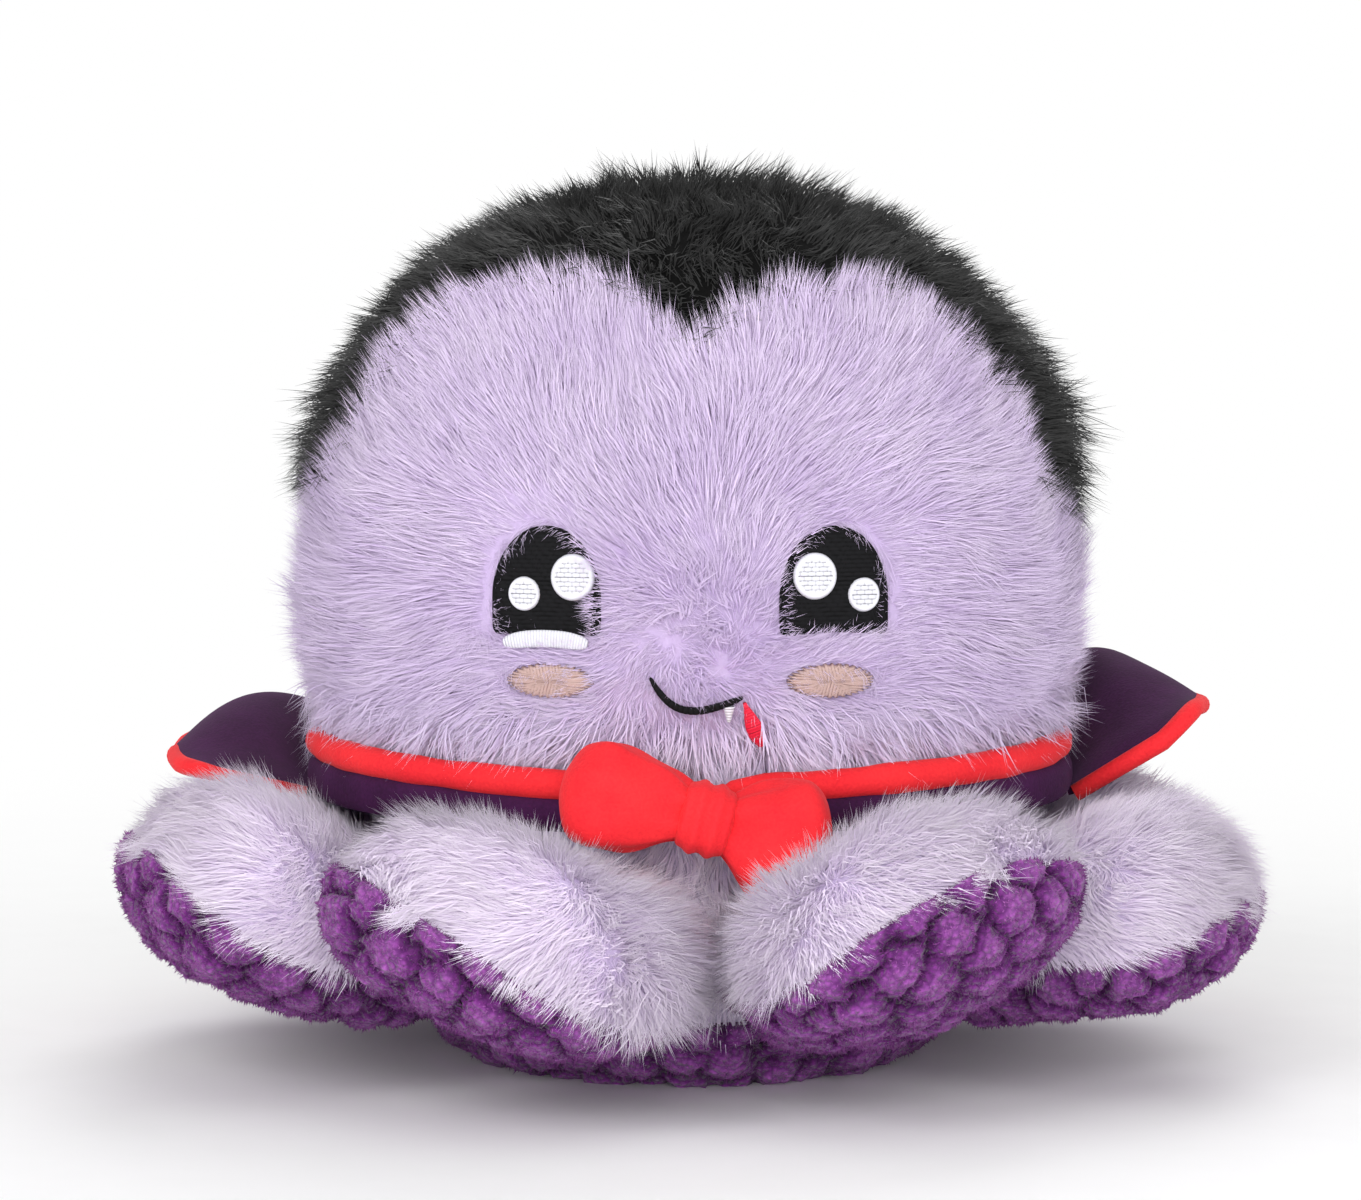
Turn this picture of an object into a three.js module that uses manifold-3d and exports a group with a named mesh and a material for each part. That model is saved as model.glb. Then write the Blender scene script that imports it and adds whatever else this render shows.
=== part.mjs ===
// A plush toy: a big round head on a small body with eight stuffed arms, a collar, a cape and a bow.
// Millimetres, +Z up. The origin is the centre of the base's flat face, and the face looks along -Y.
import * as THREE from "three";
import { mergeVertices } from "three/addons/utils/BufferGeometryUtils.js";
import Module from "manifold-3d";

const wasm = await Module();
wasm.setup();

// Clearances
const seamGap = 0.3;
const cutOverrun = 6;
const sliver = 0.02;
const sharpestMitre = 0.5;
const weldDistance = 0.0001;

// Body under the head
const bodyHeight = 65;
const bodyApothem = 54;
const bodySides = 8;
const bodyTurn = 2.5;
const shoulderDrop = 23;
const neckInset = 7;
const bodyWall = 2.5;
const baseRestInset = 18;
const basePuff = 15;
const baseWall = 3;

// Head
const headHalfWidth = 84;
const headHalfDepth = 69;
const jawHeight = 42.7;
const crownRise = 83;
const headTuck = 2;
const headWall = 4.5;
const crownPower = 2.25;
const jawPower = 4.5;
const planPower = 2.15;

// Arms
const armPeek = 43;
const armCurl = 34;
const armLift = 3;
const armSideGap = 5.7;
const armRootSideGap = 1.4;
const armUp = 25;
const armFloorGap = 15;
const armWall = 3;
const armRootRadius = 15;
const armEnd = 20;
const armSectionPower = 2.3;
const armSwellShare = 0.55;
const armSwellPower = 1.2;
const armRollShare = 0.6;
const armRootNarrowShare = 0.12;
const armBendShare = 0.4;
const armCurlStartShare = 0.72;
const armCurlLiftShare = 0.33;
const armSway = 15;

// The arms in turn from the right of the back, in shares of the sizes above. Those under the cape lie lower.
const armShares = [
  { name: "rear_right", reachShare: 0.93, liftShare: 0, curlShare: 0.6, roll: 0, swayShare: 0 },
  { name: "back_right", reachShare: 0.96, liftShare: 0, curlShare: 0.3, roll: -6, swayShare: 0 },
  { name: "back_left", reachShare: 0.96, liftShare: 0, curlShare: 0.25, roll: 6, swayShare: 0 },
  { name: "rear_left", reachShare: 0.95, liftShare: 0, curlShare: 0.35, roll: 0, swayShare: 0 },
  { name: "side_left", reachShare: 0.99, liftShare: 1, curlShare: 0.7, roll: -6, swayShare: 0 },
  { name: "front_left", reachShare: 0.98, liftShare: 1, curlShare: 0.55, roll: -18, swayShare: -1 },
  { name: "front_right", reachShare: 0.97, liftShare: 1, curlShare: 0.75, roll: 14, swayShare: 0.67 },
  { name: "side_right", reachShare: 0.98, liftShare: 1, curlShare: 0.35, roll: 6, swayShare: 0 },
];

// Collar
const collarFrontDrop = 2.5;
const collarSideRise = 1.2;
const collarFrontFlap = 6.8;
const collarSideFlap = 9;
const collarWidthInset = 1;
const collarDepthInset = 0;
const collarWall = 6;
const pipingRadius = 3;
const collarStart = 4;
const collarEnd = 181;

// Cape
const capeInset = 0.7;
const capeSideReach = 33;
const capeBackReach = 43;
const capeWall = 1.6;
const capeLift = 11;
const capeSag = 6;
const capeDroop = 12;
const capeRightCorner = 22.8;
const capeLeftCorner = 8.8;
const capeCornerPower = 8;
const capeCornerClimbPower = 1.3;
const capeEdgePower = 6;
const capeEdgeShare = 0.04;
const capeTopShare = 0.5;
const capeEaseShare = 0.4;
const capeStart = -5;
const capeEnd = 187;
const capeTrimRadius = 1.8;

// Bow
const bowPlace = 3.5;
const bowDrop = 3.3;
const bowLobeLength = 29;
const bowLobeHalfHeight = 13.5;
const bowLobeHalfDepth = 8.5;
const bowClearance = 1.5;
const frontArmLift = 8;
const bowWaistHalf = 5;
const bowKnotHalfLength = 5.5;
const bowKnotHalfHeight = 8;
const bowKnotHalfDepth = 8.5;
const bowTilt = 15;
const bowLobePower = 2.3;
const bowKnotPower = 2.6;
const bowSwellShare = 0.7;
const bowEndShare = 0.3;
const bowKnotEndShare = 0.86;

// Embroidery
const patchSink = 0.5;
const patchThickness = 1.2;
const eyeSpacing = 60.5;
const eyeRise = 43.2;
const eyeHalfWidth = 11.5;
const eyeHalfHeight = 11.6;
const eyeBottomRise = 1;
const eyeDomeShare = 0.34;
const largeGlintRadius = 4.8;
const smallGlintRadius = 3.5;
const crescentDrop = 0.8;
const crescentHalfWidth = 8.9;
const crescentThickness = 3;
const crescentSag = 2.2;
const cheekSpacing = 59;
const cheekRise = 22.2;
const cheekHalfWidth = 8.8;
const cheekHalfHeight = 3.6;
const mouthCentre = 1.3;
const mouthRise = 16.5;
const mouthHalfWidth = 9.6;
const mouthLeftRise = 7.1;
const mouthRightRise = 2.9;
const mouthLeftPower = 2.6;
const mouthRightPower = 1.5;
const mouthLine = 1.8;
const fangPlaceShare = 0.68;
const fangWidth = 3;
const fangLength = 3.6;
const dropRise = 0.9;
const dropAside = 0.6;
const dropLength = 10.5;
const dropWidth = 4.4;
const dropSlant = 4;

// Squeaker
const squeakerRadius = 17;
const squeakerHalfHeight = 10;
const squeakerWall = 1.2;
const squeakerRise = 46.7;
const valveRadius = 5;
const valveBore = 3;
const valveLength = 7;
const valveFlange = 1.5;
const reedThickness = 0.5;
const reedSeatDepth = 2.5;

// Places and sizes that follow from the ones above
const shoulderHeight = bodyHeight - shoulderDrop;
const neckRadius = bodyApothem - neckInset;
const baseRestRadius = bodyApothem - baseRestInset;
const headFloor = bodyHeight + seamGap;
const headWidestHeight = headFloor + jawHeight;
const headCrownHeight = headWidestHeight + crownRise;
const headDrop = jawHeight + headTuck;
const eyeHeight = headFloor + eyeRise;
const cheekHeight = headFloor + cheekRise;
const mouthHeight = headFloor + mouthRise;
const squeakerHeight = headFloor + squeakerRise;
const collarHalfWidth = headHalfWidth - collarWidthInset;
const collarHalfDepth = headHalfDepth - collarDepthInset;
const collarFrontTop = headFloor - collarFrontDrop;
const collarSideTop = headFloor + collarSideRise;
const collarFrontBottom = collarFrontTop - collarFrontFlap;
const collarSideBottom = collarSideTop - collarSideFlap;
const capeHemHalfWidth = collarHalfWidth + capeSideReach;
const capeHemHalfDepth = collarHalfDepth + capeBackReach;
const bowHeight = headFloor - bowDrop;
const armReach = headHalfWidth + armPeek;
const armRootHeight = shoulderHeight - armRootRadius;
const armDown = armRootHeight + armLift - armFloorGap;
const hingeRadius = bodyApothem + seamGap + armRootRadius;
const armWidestRadius = hingeRadius + armSwellShare * (armReach - hingeRadius);
const armHalfWidth = armWidestRadius * Math.sin(Math.PI / bodySides) - armSideGap;
const armRootHalfWidth = bodyApothem * Math.tan(Math.PI / bodySides) - armRootSideGap;

// Materials
const lilacFur = new THREE.MeshStandardMaterial({ color: 0xc8b6dc, roughness: 0.95, metalness: 0 });
const paleFur = new THREE.MeshStandardMaterial({ color: 0xdad3ec, roughness: 0.95, metalness: 0 });
const blackFur = new THREE.MeshStandardMaterial({ color: 0x1c1c1c, roughness: 0.9, metalness: 0 });
const bobbleFabric = new THREE.MeshStandardMaterial({ color: 0x7f3fa8, roughness: 0.9, metalness: 0 });
const purpleVelour = new THREE.MeshStandardMaterial({ color: 0x45215c, roughness: 0.85, metalness: 0 });
const redVelour = new THREE.MeshStandardMaterial({ color: 0xf52b26, roughness: 0.8, metalness: 0 });
const stuffing = new THREE.MeshStandardMaterial({ color: 0xf2f0ea, roughness: 1, metalness: 0 });
const blackThread = new THREE.MeshStandardMaterial({ color: 0x101012, roughness: 0.5, metalness: 0 });
const whiteThread = new THREE.MeshStandardMaterial({ color: 0xf0f0f2, roughness: 0.5, metalness: 0 });
const peachThread = new THREE.MeshStandardMaterial({ color: 0xebc6a6, roughness: 0.5, metalness: 0 });
const redThread = new THREE.MeshStandardMaterial({ color: 0xe0183a, roughness: 0.5, metalness: 0 });
const squeakerPlastic = new THREE.MeshStandardMaterial({ color: 0xf4f4f0, roughness: 0.4, metalness: 0 });

const arms = armShares.map((arm, k) => ({
  ...arm,
  azimuth: bodyTurn + ((k + 0.5) * 360) / bodySides,
}));

const toy = new THREE.Group();
const up = new THREE.Vector3(0, 0, 1);
const radians = THREE.MathUtils.degToRad;

// Solids from geometries, and back

function solidOf(geometry) {
  const bare = geometry.clone();
  bare.deleteAttribute("normal");
  bare.deleteAttribute("uv");
  const merged = mergeVertices(bare, weldDistance);
  const mesh = new wasm.Mesh({
    numProp: 3,
    vertProperties: new Float32Array(merged.attributes.position.array),
    triVerts: new Uint32Array(merged.index.array),
  });
  const solid = new wasm.Manifold(mesh);
  if (solid.volume() > 0) {
    return solid;
  }
  for (let k = 0; k < mesh.triVerts.length; k += 3) {
    const kept = mesh.triVerts[k];
    mesh.triVerts[k] = mesh.triVerts[k + 1];
    mesh.triVerts[k + 1] = kept;
  }
  return new wasm.Manifold(mesh);
}

function geometryOf(solid) {
  const mesh = solid.getMesh();
  const geometry = new THREE.BufferGeometry();
  const places = new Float32Array((mesh.vertProperties.length / mesh.numProp) * 3);
  for (let k = 0; k < places.length / 3; k += 1) {
    places.set(mesh.vertProperties.subarray(k * mesh.numProp, k * mesh.numProp + 3), k * 3);
  }
  geometry.setAttribute("position", new THREE.BufferAttribute(places, 3));
  geometry.setIndex(new THREE.BufferAttribute(new Uint32Array(mesh.triVerts), 1));
  return geometry;
}

function largestBody(solid) {
  const bodies = solid.simplify(sliver).decompose();
  return bodies.reduce((best, body) => (body.volume() > best.volume() ? body : best));
}

function addPart(name, shape, material, holder = toy) {
  const geometry = shape.isBufferGeometry ? shape : geometryOf(largestBody(shape));
  const mesh = new THREE.Mesh(geometry, material);
  mesh.name = name;
  holder.add(mesh);
  return mesh;
}

// A closed skin over rings of points, with a pole at each end
function loft(rings, startPole, endPole) {
  const sides = rings[0].length;
  const points = [...rings.flat(), startPole, endPole];
  const start = points.length - 2;
  const end = points.length - 1;
  const last = (rings.length - 1) * sides;
  const faces = [];
  for (let side = 0; side < sides; side += 1) {
    const next = (side + 1) % sides;
    for (let row = 0; row < rings.length - 1; row += 1) {
      const low = row * sides;
      const high = low + sides;
      faces.push(low + side, low + next, high + next, low + side, high + next, high + side);
    }
    faces.push(start, next, side, end, last + side, last + next);
  }
  const geometry = new THREE.BufferGeometry().setFromPoints(points);
  geometry.setIndex(faces);
  return geometry;
}

function middle(ring) {
  const sum = ring.reduce((total, point) => total.add(point), new THREE.Vector3());
  return sum.divideScalar(ring.length);
}

function flatLoft(rings) {
  return loft(rings, middle(rings[0]), middle(rings[rings.length - 1]));
}

// A point of a superellipse at an angle, as shares of its two half axes
function superPoint(angle, power) {
  const c = Math.cos(angle);
  const s = Math.sin(angle);
  return [Math.sign(c) * Math.abs(c) ** (2 / power), Math.sign(s) * Math.abs(s) ** (2 / power)];
}

function planRing(halfWidth, halfDepth, height, sides) {
  return Array.from({ length: sides }, (_, k) => {
    const [x, y] = superPoint((2 * Math.PI * k) / sides, planPower);
    return new THREE.Vector3(x * halfWidth, y * halfDepth, height);
  });
}

// Outlines in the front view, run through Y
function extrudeThroughFront(points) {
  const shape = new THREE.Shape(points);
  const depth = headHalfDepth + cutOverrun;
  const geometry = new THREE.ExtrudeGeometry(shape, { depth, bevelEnabled: false, steps: 1 });
  geometry.rotateX(Math.PI / 2);
  return solidOf(geometry);
}

// An outline moved outward by a distance, each corner along its mitre
function offsetOutline(points, distance) {
  const turn = THREE.ShapeUtils.area(points) > 0 ? 1 : -1;
  return points.map((point, k) => {
    const before = points[(k + points.length - 1) % points.length];
    const after = points[(k + 1) % points.length];
    const first = point.clone().sub(before).normalize();
    const second = after.clone().sub(point).normalize();
    const normal = new THREE.Vector2(first.y + second.y, -first.x - second.x).normalize();
    const mitre = Math.max(sharpestMitre, normal.x * first.y - normal.y * first.x);
    return point.clone().addScaledVector(normal, (turn * distance) / mitre);
  });
}

function ellipseOutline(x, height, halfWidth, halfHeight, count) {
  return Array.from({ length: count }, (_, k) => {
    const angle = (2 * Math.PI * k) / count;
    return new THREE.Vector2(x + halfWidth * Math.cos(angle), height + halfHeight * Math.sin(angle));
  });
}

// Head

// How full the head is at a height, as a share of its width, for a skin grown by a distance
function headFullness(height, grow) {
  const above = height > headWidestHeight;
  const reach = (above ? crownRise : headDrop) + grow;
  const power = above ? crownPower : jawPower;
  const share = Math.min(1, Math.abs(height - headWidestHeight) / reach);
  return (1 - share ** power) ** (1 / power);
}

const jawRowShares = [0, 0.03, 0.1, 0.22, 0.45, 0.75];
const crownRowAngles = [0, 16, 31, 45, 57, 67, 75, 81.5, 86.5];

function headSolid(grow, floor, sides, jawRows = jawRowShares, crownRows = crownRowAngles) {
  const jaw = jawRows.map((share) => floor + share * (headWidestHeight - floor));
  const crown = crownRows.map(
    (angle) => headWidestHeight + (crownRise + grow) * Math.sin(radians(angle)) ** (2 / crownPower),
  );
  const rings = [...jaw, ...crown].map((height) => {
    const fullness = headFullness(height, grow);
    return planRing((headHalfWidth + grow) * fullness, (headHalfDepth + grow) * fullness, height, sides);
  });
  const bottom = new THREE.Vector3(0, 0, floor);
  const top = new THREE.Vector3(0, 0, headCrownHeight + grow);
  return solidOf(loft(rings, bottom, top));
}

// The hairline, as shares of the head's half width and of its height over the neck
const hairlineShares = [
  [-1.06, 0.27],
  [-0.95, 0.36],
  [-0.875, 0.48],
  [-0.79, 0.61],
  [-0.675, 0.71],
  [-0.54, 0.785],
  [-0.36, 0.815],
  [-0.18, 0.8],
  [-0.07, 0.745],
  [0, 0.715],
  [0.08, 0.74],
  [0.19, 0.78],
  [0.38, 0.805],
  [0.54, 0.78],
  [0.68, 0.695],
  [0.795, 0.59],
  [0.865, 0.465],
  [0.935, 0.35],
  [1.06, 0.26],
];

// The side seam behind the face, as shares of the head's half depth and of its height over the neck
const sideSeamShares = [
  [0.42, -0.2],
  [0.38, 0],
  [0.1, 0.2],
  [-0.12, 0.37],
  [-0.34, 0.5],
  [-0.38, 1.2],
];

function faceRegion(grow) {
  const tall = headCrownHeight - headFloor;
  const wide = headHalfWidth + cutOverrun;
  const line = hairlineShares.map(
    ([x, z]) => new THREE.Vector2(x * headHalfWidth, headFloor + z * tall),
  );
  const low = headFloor - cutOverrun;
  const outline = [
    new THREE.Vector2(-wide, low),
    new THREE.Vector2(wide, low),
    ...line.slice().reverse(),
  ];
  const front = new THREE.ExtrudeGeometry(new THREE.Shape(offsetOutline(outline, grow)), {
    depth: 2 * headHalfDepth + 2 * cutOverrun,
    bevelEnabled: false,
    steps: 1,
  });
  front.rotateX(Math.PI / 2);
  front.translate(0, headHalfDepth + cutOverrun, 0);
  const ahead = -headHalfDepth - 2 * cutOverrun;
  const seam = sideSeamShares.map(
    ([y, z]) => new THREE.Vector2(y * headHalfDepth, headFloor + z * tall),
  );
  const profile = [
    new THREE.Vector2(ahead, seam[0].y),
    ...seam,
    new THREE.Vector2(ahead, seam[seam.length - 1].y),
  ];
  const side = new THREE.ExtrudeGeometry(new THREE.Shape(offsetOutline(profile, grow)), {
    depth: 2 * wide + 2 * cutOverrun,
    bevelEnabled: false,
    steps: 1,
  });
  side.rotateX(Math.PI / 2);
  side.rotateZ(Math.PI / 2);
  side.translate(-wide - cutOverrun, 0, 0);
  return solidOf(front).intersect(solidOf(side));
}

const headSides = 28;
const innerSides = 20;
const innerJawShares = [0, 0.08, 0.25, 0.6];
const innerCrownAngles = [0, 22, 42, 60, 74, 84];

function innerHead(shrink) {
  return headSolid(-shrink, headFloor + shrink, innerSides, innerJawShares, innerCrownAngles);
}

// Embroidered patches, let into the face

// Along an eye's foot, as shares of its half width and of the rise in the foot's middle
const eyeFootShares = [
  [-0.5, 0.75],
  [0, 1],
  [0.5, 0.75],
  [1, 0],
];

// Round an eye's dome, as shares of half a turn
const eyeDomeShares = [0, 0.17, 0.34, 0.5, 0.66, 0.83, 1];

// A dome on short straight sides, with a foot that rises a little in its middle
function eyeOutline(side) {
  const x = (side * eyeSpacing) / 2;
  const low = eyeHeight - eyeHalfHeight;
  const straight = 2 * eyeHalfHeight * eyeDomeShare;
  const dome = 2 * eyeHalfHeight - straight;
  const foot = eyeFootShares.map(
    ([across, lift]) => new THREE.Vector2(x + across * eyeHalfWidth, low + lift * eyeBottomRise),
  );
  const over = eyeDomeShares.map((share) => {
    const angle = Math.PI * share;
    return new THREE.Vector2(
      x + eyeHalfWidth * Math.cos(angle),
      low + straight + dome * Math.sin(angle),
    );
  });
  return [...foot, ...over, new THREE.Vector2(x - eyeHalfWidth, low)];
}

function bandOutline(centre, thickness, count) {
  const above = [];
  const below = [];
  for (let k = 0; k <= count; k += 1) {
    const share = (2 * k) / count - 1;
    const end = Math.sqrt(Math.max(0, 1 - share ** 4));
    const half = thickness * (0.12 + 0.38 * end);
    const point = centre(share);
    above.push(new THREE.Vector2(point.x, point.y + half));
    below.push(new THREE.Vector2(point.x, point.y - half));
  }
  return [...below, ...above.reverse()];
}

function crescentOutline(side) {
  const x = (side * eyeSpacing) / 2;
  return bandOutline(
    (share) =>
      new THREE.Vector2(
        x + share * crescentHalfWidth,
        eyeHeight - eyeHalfHeight - crescentDrop - crescentSag * 0.4 * (share ** 2 - 0.5),
      ),
    crescentThickness,
    8,
  );
}

// The mouth's line rises more to the left than to the right
function mouthPlace(share) {
  const left = mouthLeftRise * Math.max(0, -share) ** mouthLeftPower;
  const right = mouthRightRise * Math.max(0, share) ** mouthRightPower;
  return new THREE.Vector2(mouthCentre + share * mouthHalfWidth, mouthHeight + left + right);
}

function mouthOutline() {
  return bandOutline(mouthPlace, mouthLine, 14);
}

// A fang that hangs from the lower edge of the mouth's line
function fangOutline() {
  const half = fangWidth / 2;
  const fangPlace = mouthCentre + fangPlaceShare * mouthHalfWidth;
  const [left, right] = [fangPlace - half, fangPlace + half].map((x) => {
    const line = mouthPlace((x - mouthCentre) / mouthHalfWidth);
    return new THREE.Vector2(x, line.y - mouthLine / 2 - 2 * seamGap);
  });
  const point = left.y + (right.y - left.y) / 2 - fangLength;
  return [
    left,
    new THREE.Vector2(fangPlace - half * 0.3, point),
    new THREE.Vector2(fangPlace + half * 0.3, point),
    right,
  ];
}

// A drop that runs down from a point to a round foot
function dropOutline() {
  const radius = dropWidth / 2;
  const dropPlace = mouthCentre + mouthHalfWidth + dropAside;
  const dropTop = mouthHeight + mouthRightRise - dropRise;
  const foot = new THREE.Vector2(dropPlace + dropSlant, dropTop - dropLength + radius);
  const head = new THREE.Vector2(dropPlace + radius * 0.3, dropTop);
  const points = [head];
  for (let k = 0; k <= 8; k += 1) {
    const angle = Math.PI * (0.92 + (1.16 * k) / 8);
    points.push(new THREE.Vector2(foot.x + radius * Math.cos(angle), foot.y + radius * Math.sin(angle)));
  }
  points.push(new THREE.Vector2(head.x + radius * 0.5, dropTop + radius * 0.2));
  return points;
}

const glintShares = [
  { name: "eye_glint_left_large", side: -1, x: 0.5, z: 0.08, radius: largeGlintRadius },
  { name: "eye_glint_left_small", side: -1, x: -0.38, z: -0.23, radius: smallGlintRadius },
  { name: "eye_glint_right_large", side: 1, x: -0.37, z: 0.1, radius: largeGlintRadius },
  { name: "eye_glint_right_small", side: 1, x: 0.52, z: -0.25, radius: smallGlintRadius },
];

const glints = glintShares.map(({ name, side, x, z, radius }) => ({
  name,
  side,
  outline: ellipseOutline(
    (side * eyeSpacing) / 2 + x * eyeHalfWidth,
    eyeHeight + z * eyeHalfHeight,
    radius * 0.96,
    radius * 1.03,
    14,
  ),
}));

const patches = [
  { name: "eye_left", outline: eyeOutline(-1), material: blackThread, side: -1 },
  { name: "eye_right", outline: eyeOutline(1), material: blackThread, side: 1 },
  {
    name: "eye_crescent_left",
    outline: crescentOutline(-1),
    material: whiteThread,
    above: eyeOutline(-1),
  },
  {
    name: "eye_crescent_right",
    outline: crescentOutline(1),
    material: whiteThread,
    above: eyeOutline(1),
  },
  {
    name: "cheek_left",
    outline: ellipseOutline(-cheekSpacing / 2, cheekHeight, cheekHalfWidth, cheekHalfHeight, 16),
    material: peachThread,
  },
  {
    name: "cheek_right",
    outline: ellipseOutline(cheekSpacing / 2, cheekHeight, cheekHalfWidth, cheekHalfHeight, 16),
    material: peachThread,
  },
  { name: "mouth_line", outline: mouthOutline(), material: blackThread },
  { name: "fang", outline: fangOutline(), material: whiteThread },
  { name: "mouth_drop", outline: dropOutline(), material: redThread },
];

function buildHead() {
  const outer = headSolid(0, headFloor, headSides);
  const shell = outer.subtract(innerHead(headWall));
  const face = shell.intersect(faceRegion(-seamGap / 2));
  const cap = shell.subtract(faceRegion(seamGap / 2));
  const patchTop = headSolid(-patchSink, headFloor, headSides);
  const patchBottom = headSolid(-patchSink - patchThickness, headFloor, headSides);
  const pocketTop = headSolid(cutOverrun, headFloor - cutOverrun, headSides);
  const pocketBottom = headSolid(-patchSink - patchThickness - seamGap, headFloor, headSides);
  const patchLayer = patchTop.subtract(patchBottom);
  const pocketLayer = pocketTop.subtract(pocketBottom);
  const taken = patches.map(({ outline }) => extrudeThroughFront(offsetOutline(outline, seamGap)));
  const pockets = taken.reduce((all, one) => all.add(one)).intersect(pocketLayer);
  addPart("head_face_panel", face.subtract(pockets), lilacFur);
  addPart("head_hair_cap", cap, blackFur);
  patches.forEach(({ name, outline, material, side, above }) => {
    let patch = extrudeThroughFront(outline).intersect(patchLayer);
    if (above) {
      patch = patch.subtract(extrudeThroughFront(offsetOutline(above, seamGap)));
    }
    glints
      .filter((glint) => side && glint.side === side)
      .forEach((glint) => {
        patch = patch.subtract(extrudeThroughFront(offsetOutline(glint.outline, seamGap)));
      });
    addPart(name, patch, material);
  });
  glints.forEach(({ name, outline }) => {
    addPart(name, extrudeThroughFront(outline).intersect(patchLayer), whiteThread);
  });
}

// Squeaker: a soft bulb with a mouth underneath, which holds the valve and its reed

function lathe(profile, segments) {
  const points = profile.map(([radius, height]) => new THREE.Vector2(radius, height));
  const geometry = new THREE.LatheGeometry(points, segments);
  geometry.rotateX(Math.PI / 2);
  return solidOf(geometry);
}

function bulbProfile() {
  const mouth = valveRadius + seamGap;
  const points = [];
  const steps = 7;
  for (let k = 0; k <= steps; k += 1) {
    const angle = -Math.PI / 2 + (Math.PI * k) / steps;
    const radius = k === 0 ? mouth : squeakerRadius * Math.cos(angle);
    points.push([k === steps ? 0 : radius, squeakerHalfHeight * Math.sin(angle)]);
  }
  for (let k = steps; k >= 0; k -= 1) {
    const angle = -Math.PI / 2 + (Math.PI * k) / steps;
    const radius = k === 0 ? mouth : (squeakerRadius - squeakerWall) * Math.cos(angle);
    points.push([k === steps ? 0 : radius, (squeakerHalfHeight - squeakerWall) * Math.sin(angle)]);
  }
  return points;
}

function buildSqueaker() {
  const holder = new THREE.Group();
  holder.position.set(0, 0, squeakerHeight);
  toy.add(holder);
  const floor = -squeakerHalfHeight;
  const bulb = lathe([...bulbProfile(), bulbProfile()[0]], 12);
  addPart("squeaker_bulb", bulb, squeakerPlastic, holder);
  const flangeTop = floor - seamGap;
  const seat = floor + valveLength - reedSeatDepth;
  const valve = lathe(
    [
      [valveBore, flangeTop - valveFlange],
      [valveRadius + valveFlange, flangeTop - valveFlange],
      [valveRadius + valveFlange, flangeTop],
      [valveRadius, flangeTop],
      [valveRadius, floor + valveLength],
      [valveBore + valveFlange / 2, floor + valveLength],
      [valveBore + valveFlange / 2, seat],
      [valveBore, seat],
      [valveBore, flangeTop - valveFlange],
    ],
    14,
  );
  addPart("squeaker_valve", valve, squeakerPlastic, holder);
  const reedRadius = valveBore + valveFlange / 2 - seamGap;
  const reed = lathe(
    [
      [0, seat + seamGap],
      [reedRadius, seat + seamGap],
      [reedRadius, seat + seamGap + reedThickness],
      [0, seat + seamGap + reedThickness],
    ],
    14,
  );
  addPart("squeaker_reed", reed, squeakerPlastic, holder);
}

// The stuffing of the head, with the pocket that holds the squeaker and the slit it went in by
function buildHeadFill() {
  const fill = innerHead(headWall + seamGap);
  const pocketRadius = squeakerRadius + seamGap;
  const pocketHalf = squeakerHalfHeight + seamGap;
  const foot = squeakerHalfHeight + valveFlange + 2 * seamGap;
  const pocket = lathe(
    [
      [0, -foot],
      [pocketRadius * 0.5, -foot],
      [pocketRadius, -pocketHalf * 0.4],
      [pocketRadius, pocketHalf * 0.4],
      [pocketRadius * 0.6, pocketHalf],
      [0, pocketHalf],
    ],
    14,
  ).translate([0, 0, squeakerHeight]);
  const slitLength = headHalfDepth + cutOverrun;
  const slit = solidOf(new THREE.BoxGeometry(pocketRadius, slitLength, pocketHalf));
  const path = slit.translate([0, slitLength / 2, squeakerHeight]);
  addPart("head_fill", fill.subtract(pocket).subtract(path), stuffing);
}

// Body

function octagonRing(apothem, height) {
  const radius = apothem / Math.cos(Math.PI / bodySides);
  return Array.from({ length: bodySides }, (_, k) => {
    const angle = (2 * Math.PI * k) / bodySides + radians(bodyTurn);
    return new THREE.Vector3(radius * Math.cos(angle), radius * Math.sin(angle), height);
  });
}

// Apothem and height of the body's rings, from the flat rest up over the puffed base to the neck
const baseRowShares = [
  [0, 0],
  [0.55, 0.16],
  [0.86, 0.5],
  [1, 1],
];

function bodySolid(grow) {
  const base = baseRowShares.map(([out, rise]) => [
    baseRestRadius + out * (bodyApothem - baseRestRadius) + grow,
    rise * basePuff,
  ]);
  const rows = [
    ...base,
    [bodyApothem + grow, shoulderHeight],
    [(bodyApothem + neckRadius) / 2 + grow, (shoulderHeight + bodyHeight) / 2],
    [neckRadius + grow, bodyHeight + Math.max(0, grow)],
  ];
  return solidOf(flatLoft(rows.map(([apothem, height]) => octagonRing(apothem, height))));
}

function layerBetween(low, high) {
  const side = 4 * bodyApothem;
  const box = new THREE.BoxGeometry(side, side, high - low);
  box.translate(0, 0, (high + low) / 2);
  return solidOf(box);
}

function buildBody() {
  const whole = bodySolid(0);
  const inner = bodySolid(-bodyWall).intersect(layerBetween(baseWall, bodyHeight - bodyWall));
  const low = layerBetween(-cutOverrun, basePuff - seamGap);
  const high = layerBetween(basePuff, bodyHeight + cutOverrun);
  const core = bodySolid(-bodyWall - seamGap).intersect(
    layerBetween(baseWall + seamGap, bodyHeight - bodyWall - seamGap),
  );
  addPart("base_panel", whole.subtract(inner).intersect(low), bobbleFabric);
  addPart("body_cover", whole.subtract(inner).intersect(high), paleFur);
  addPart("body_fill", core, stuffing);
}

// Arms. In an arm's own frame X runs out from the body, Y to its left and Z up.

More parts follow.
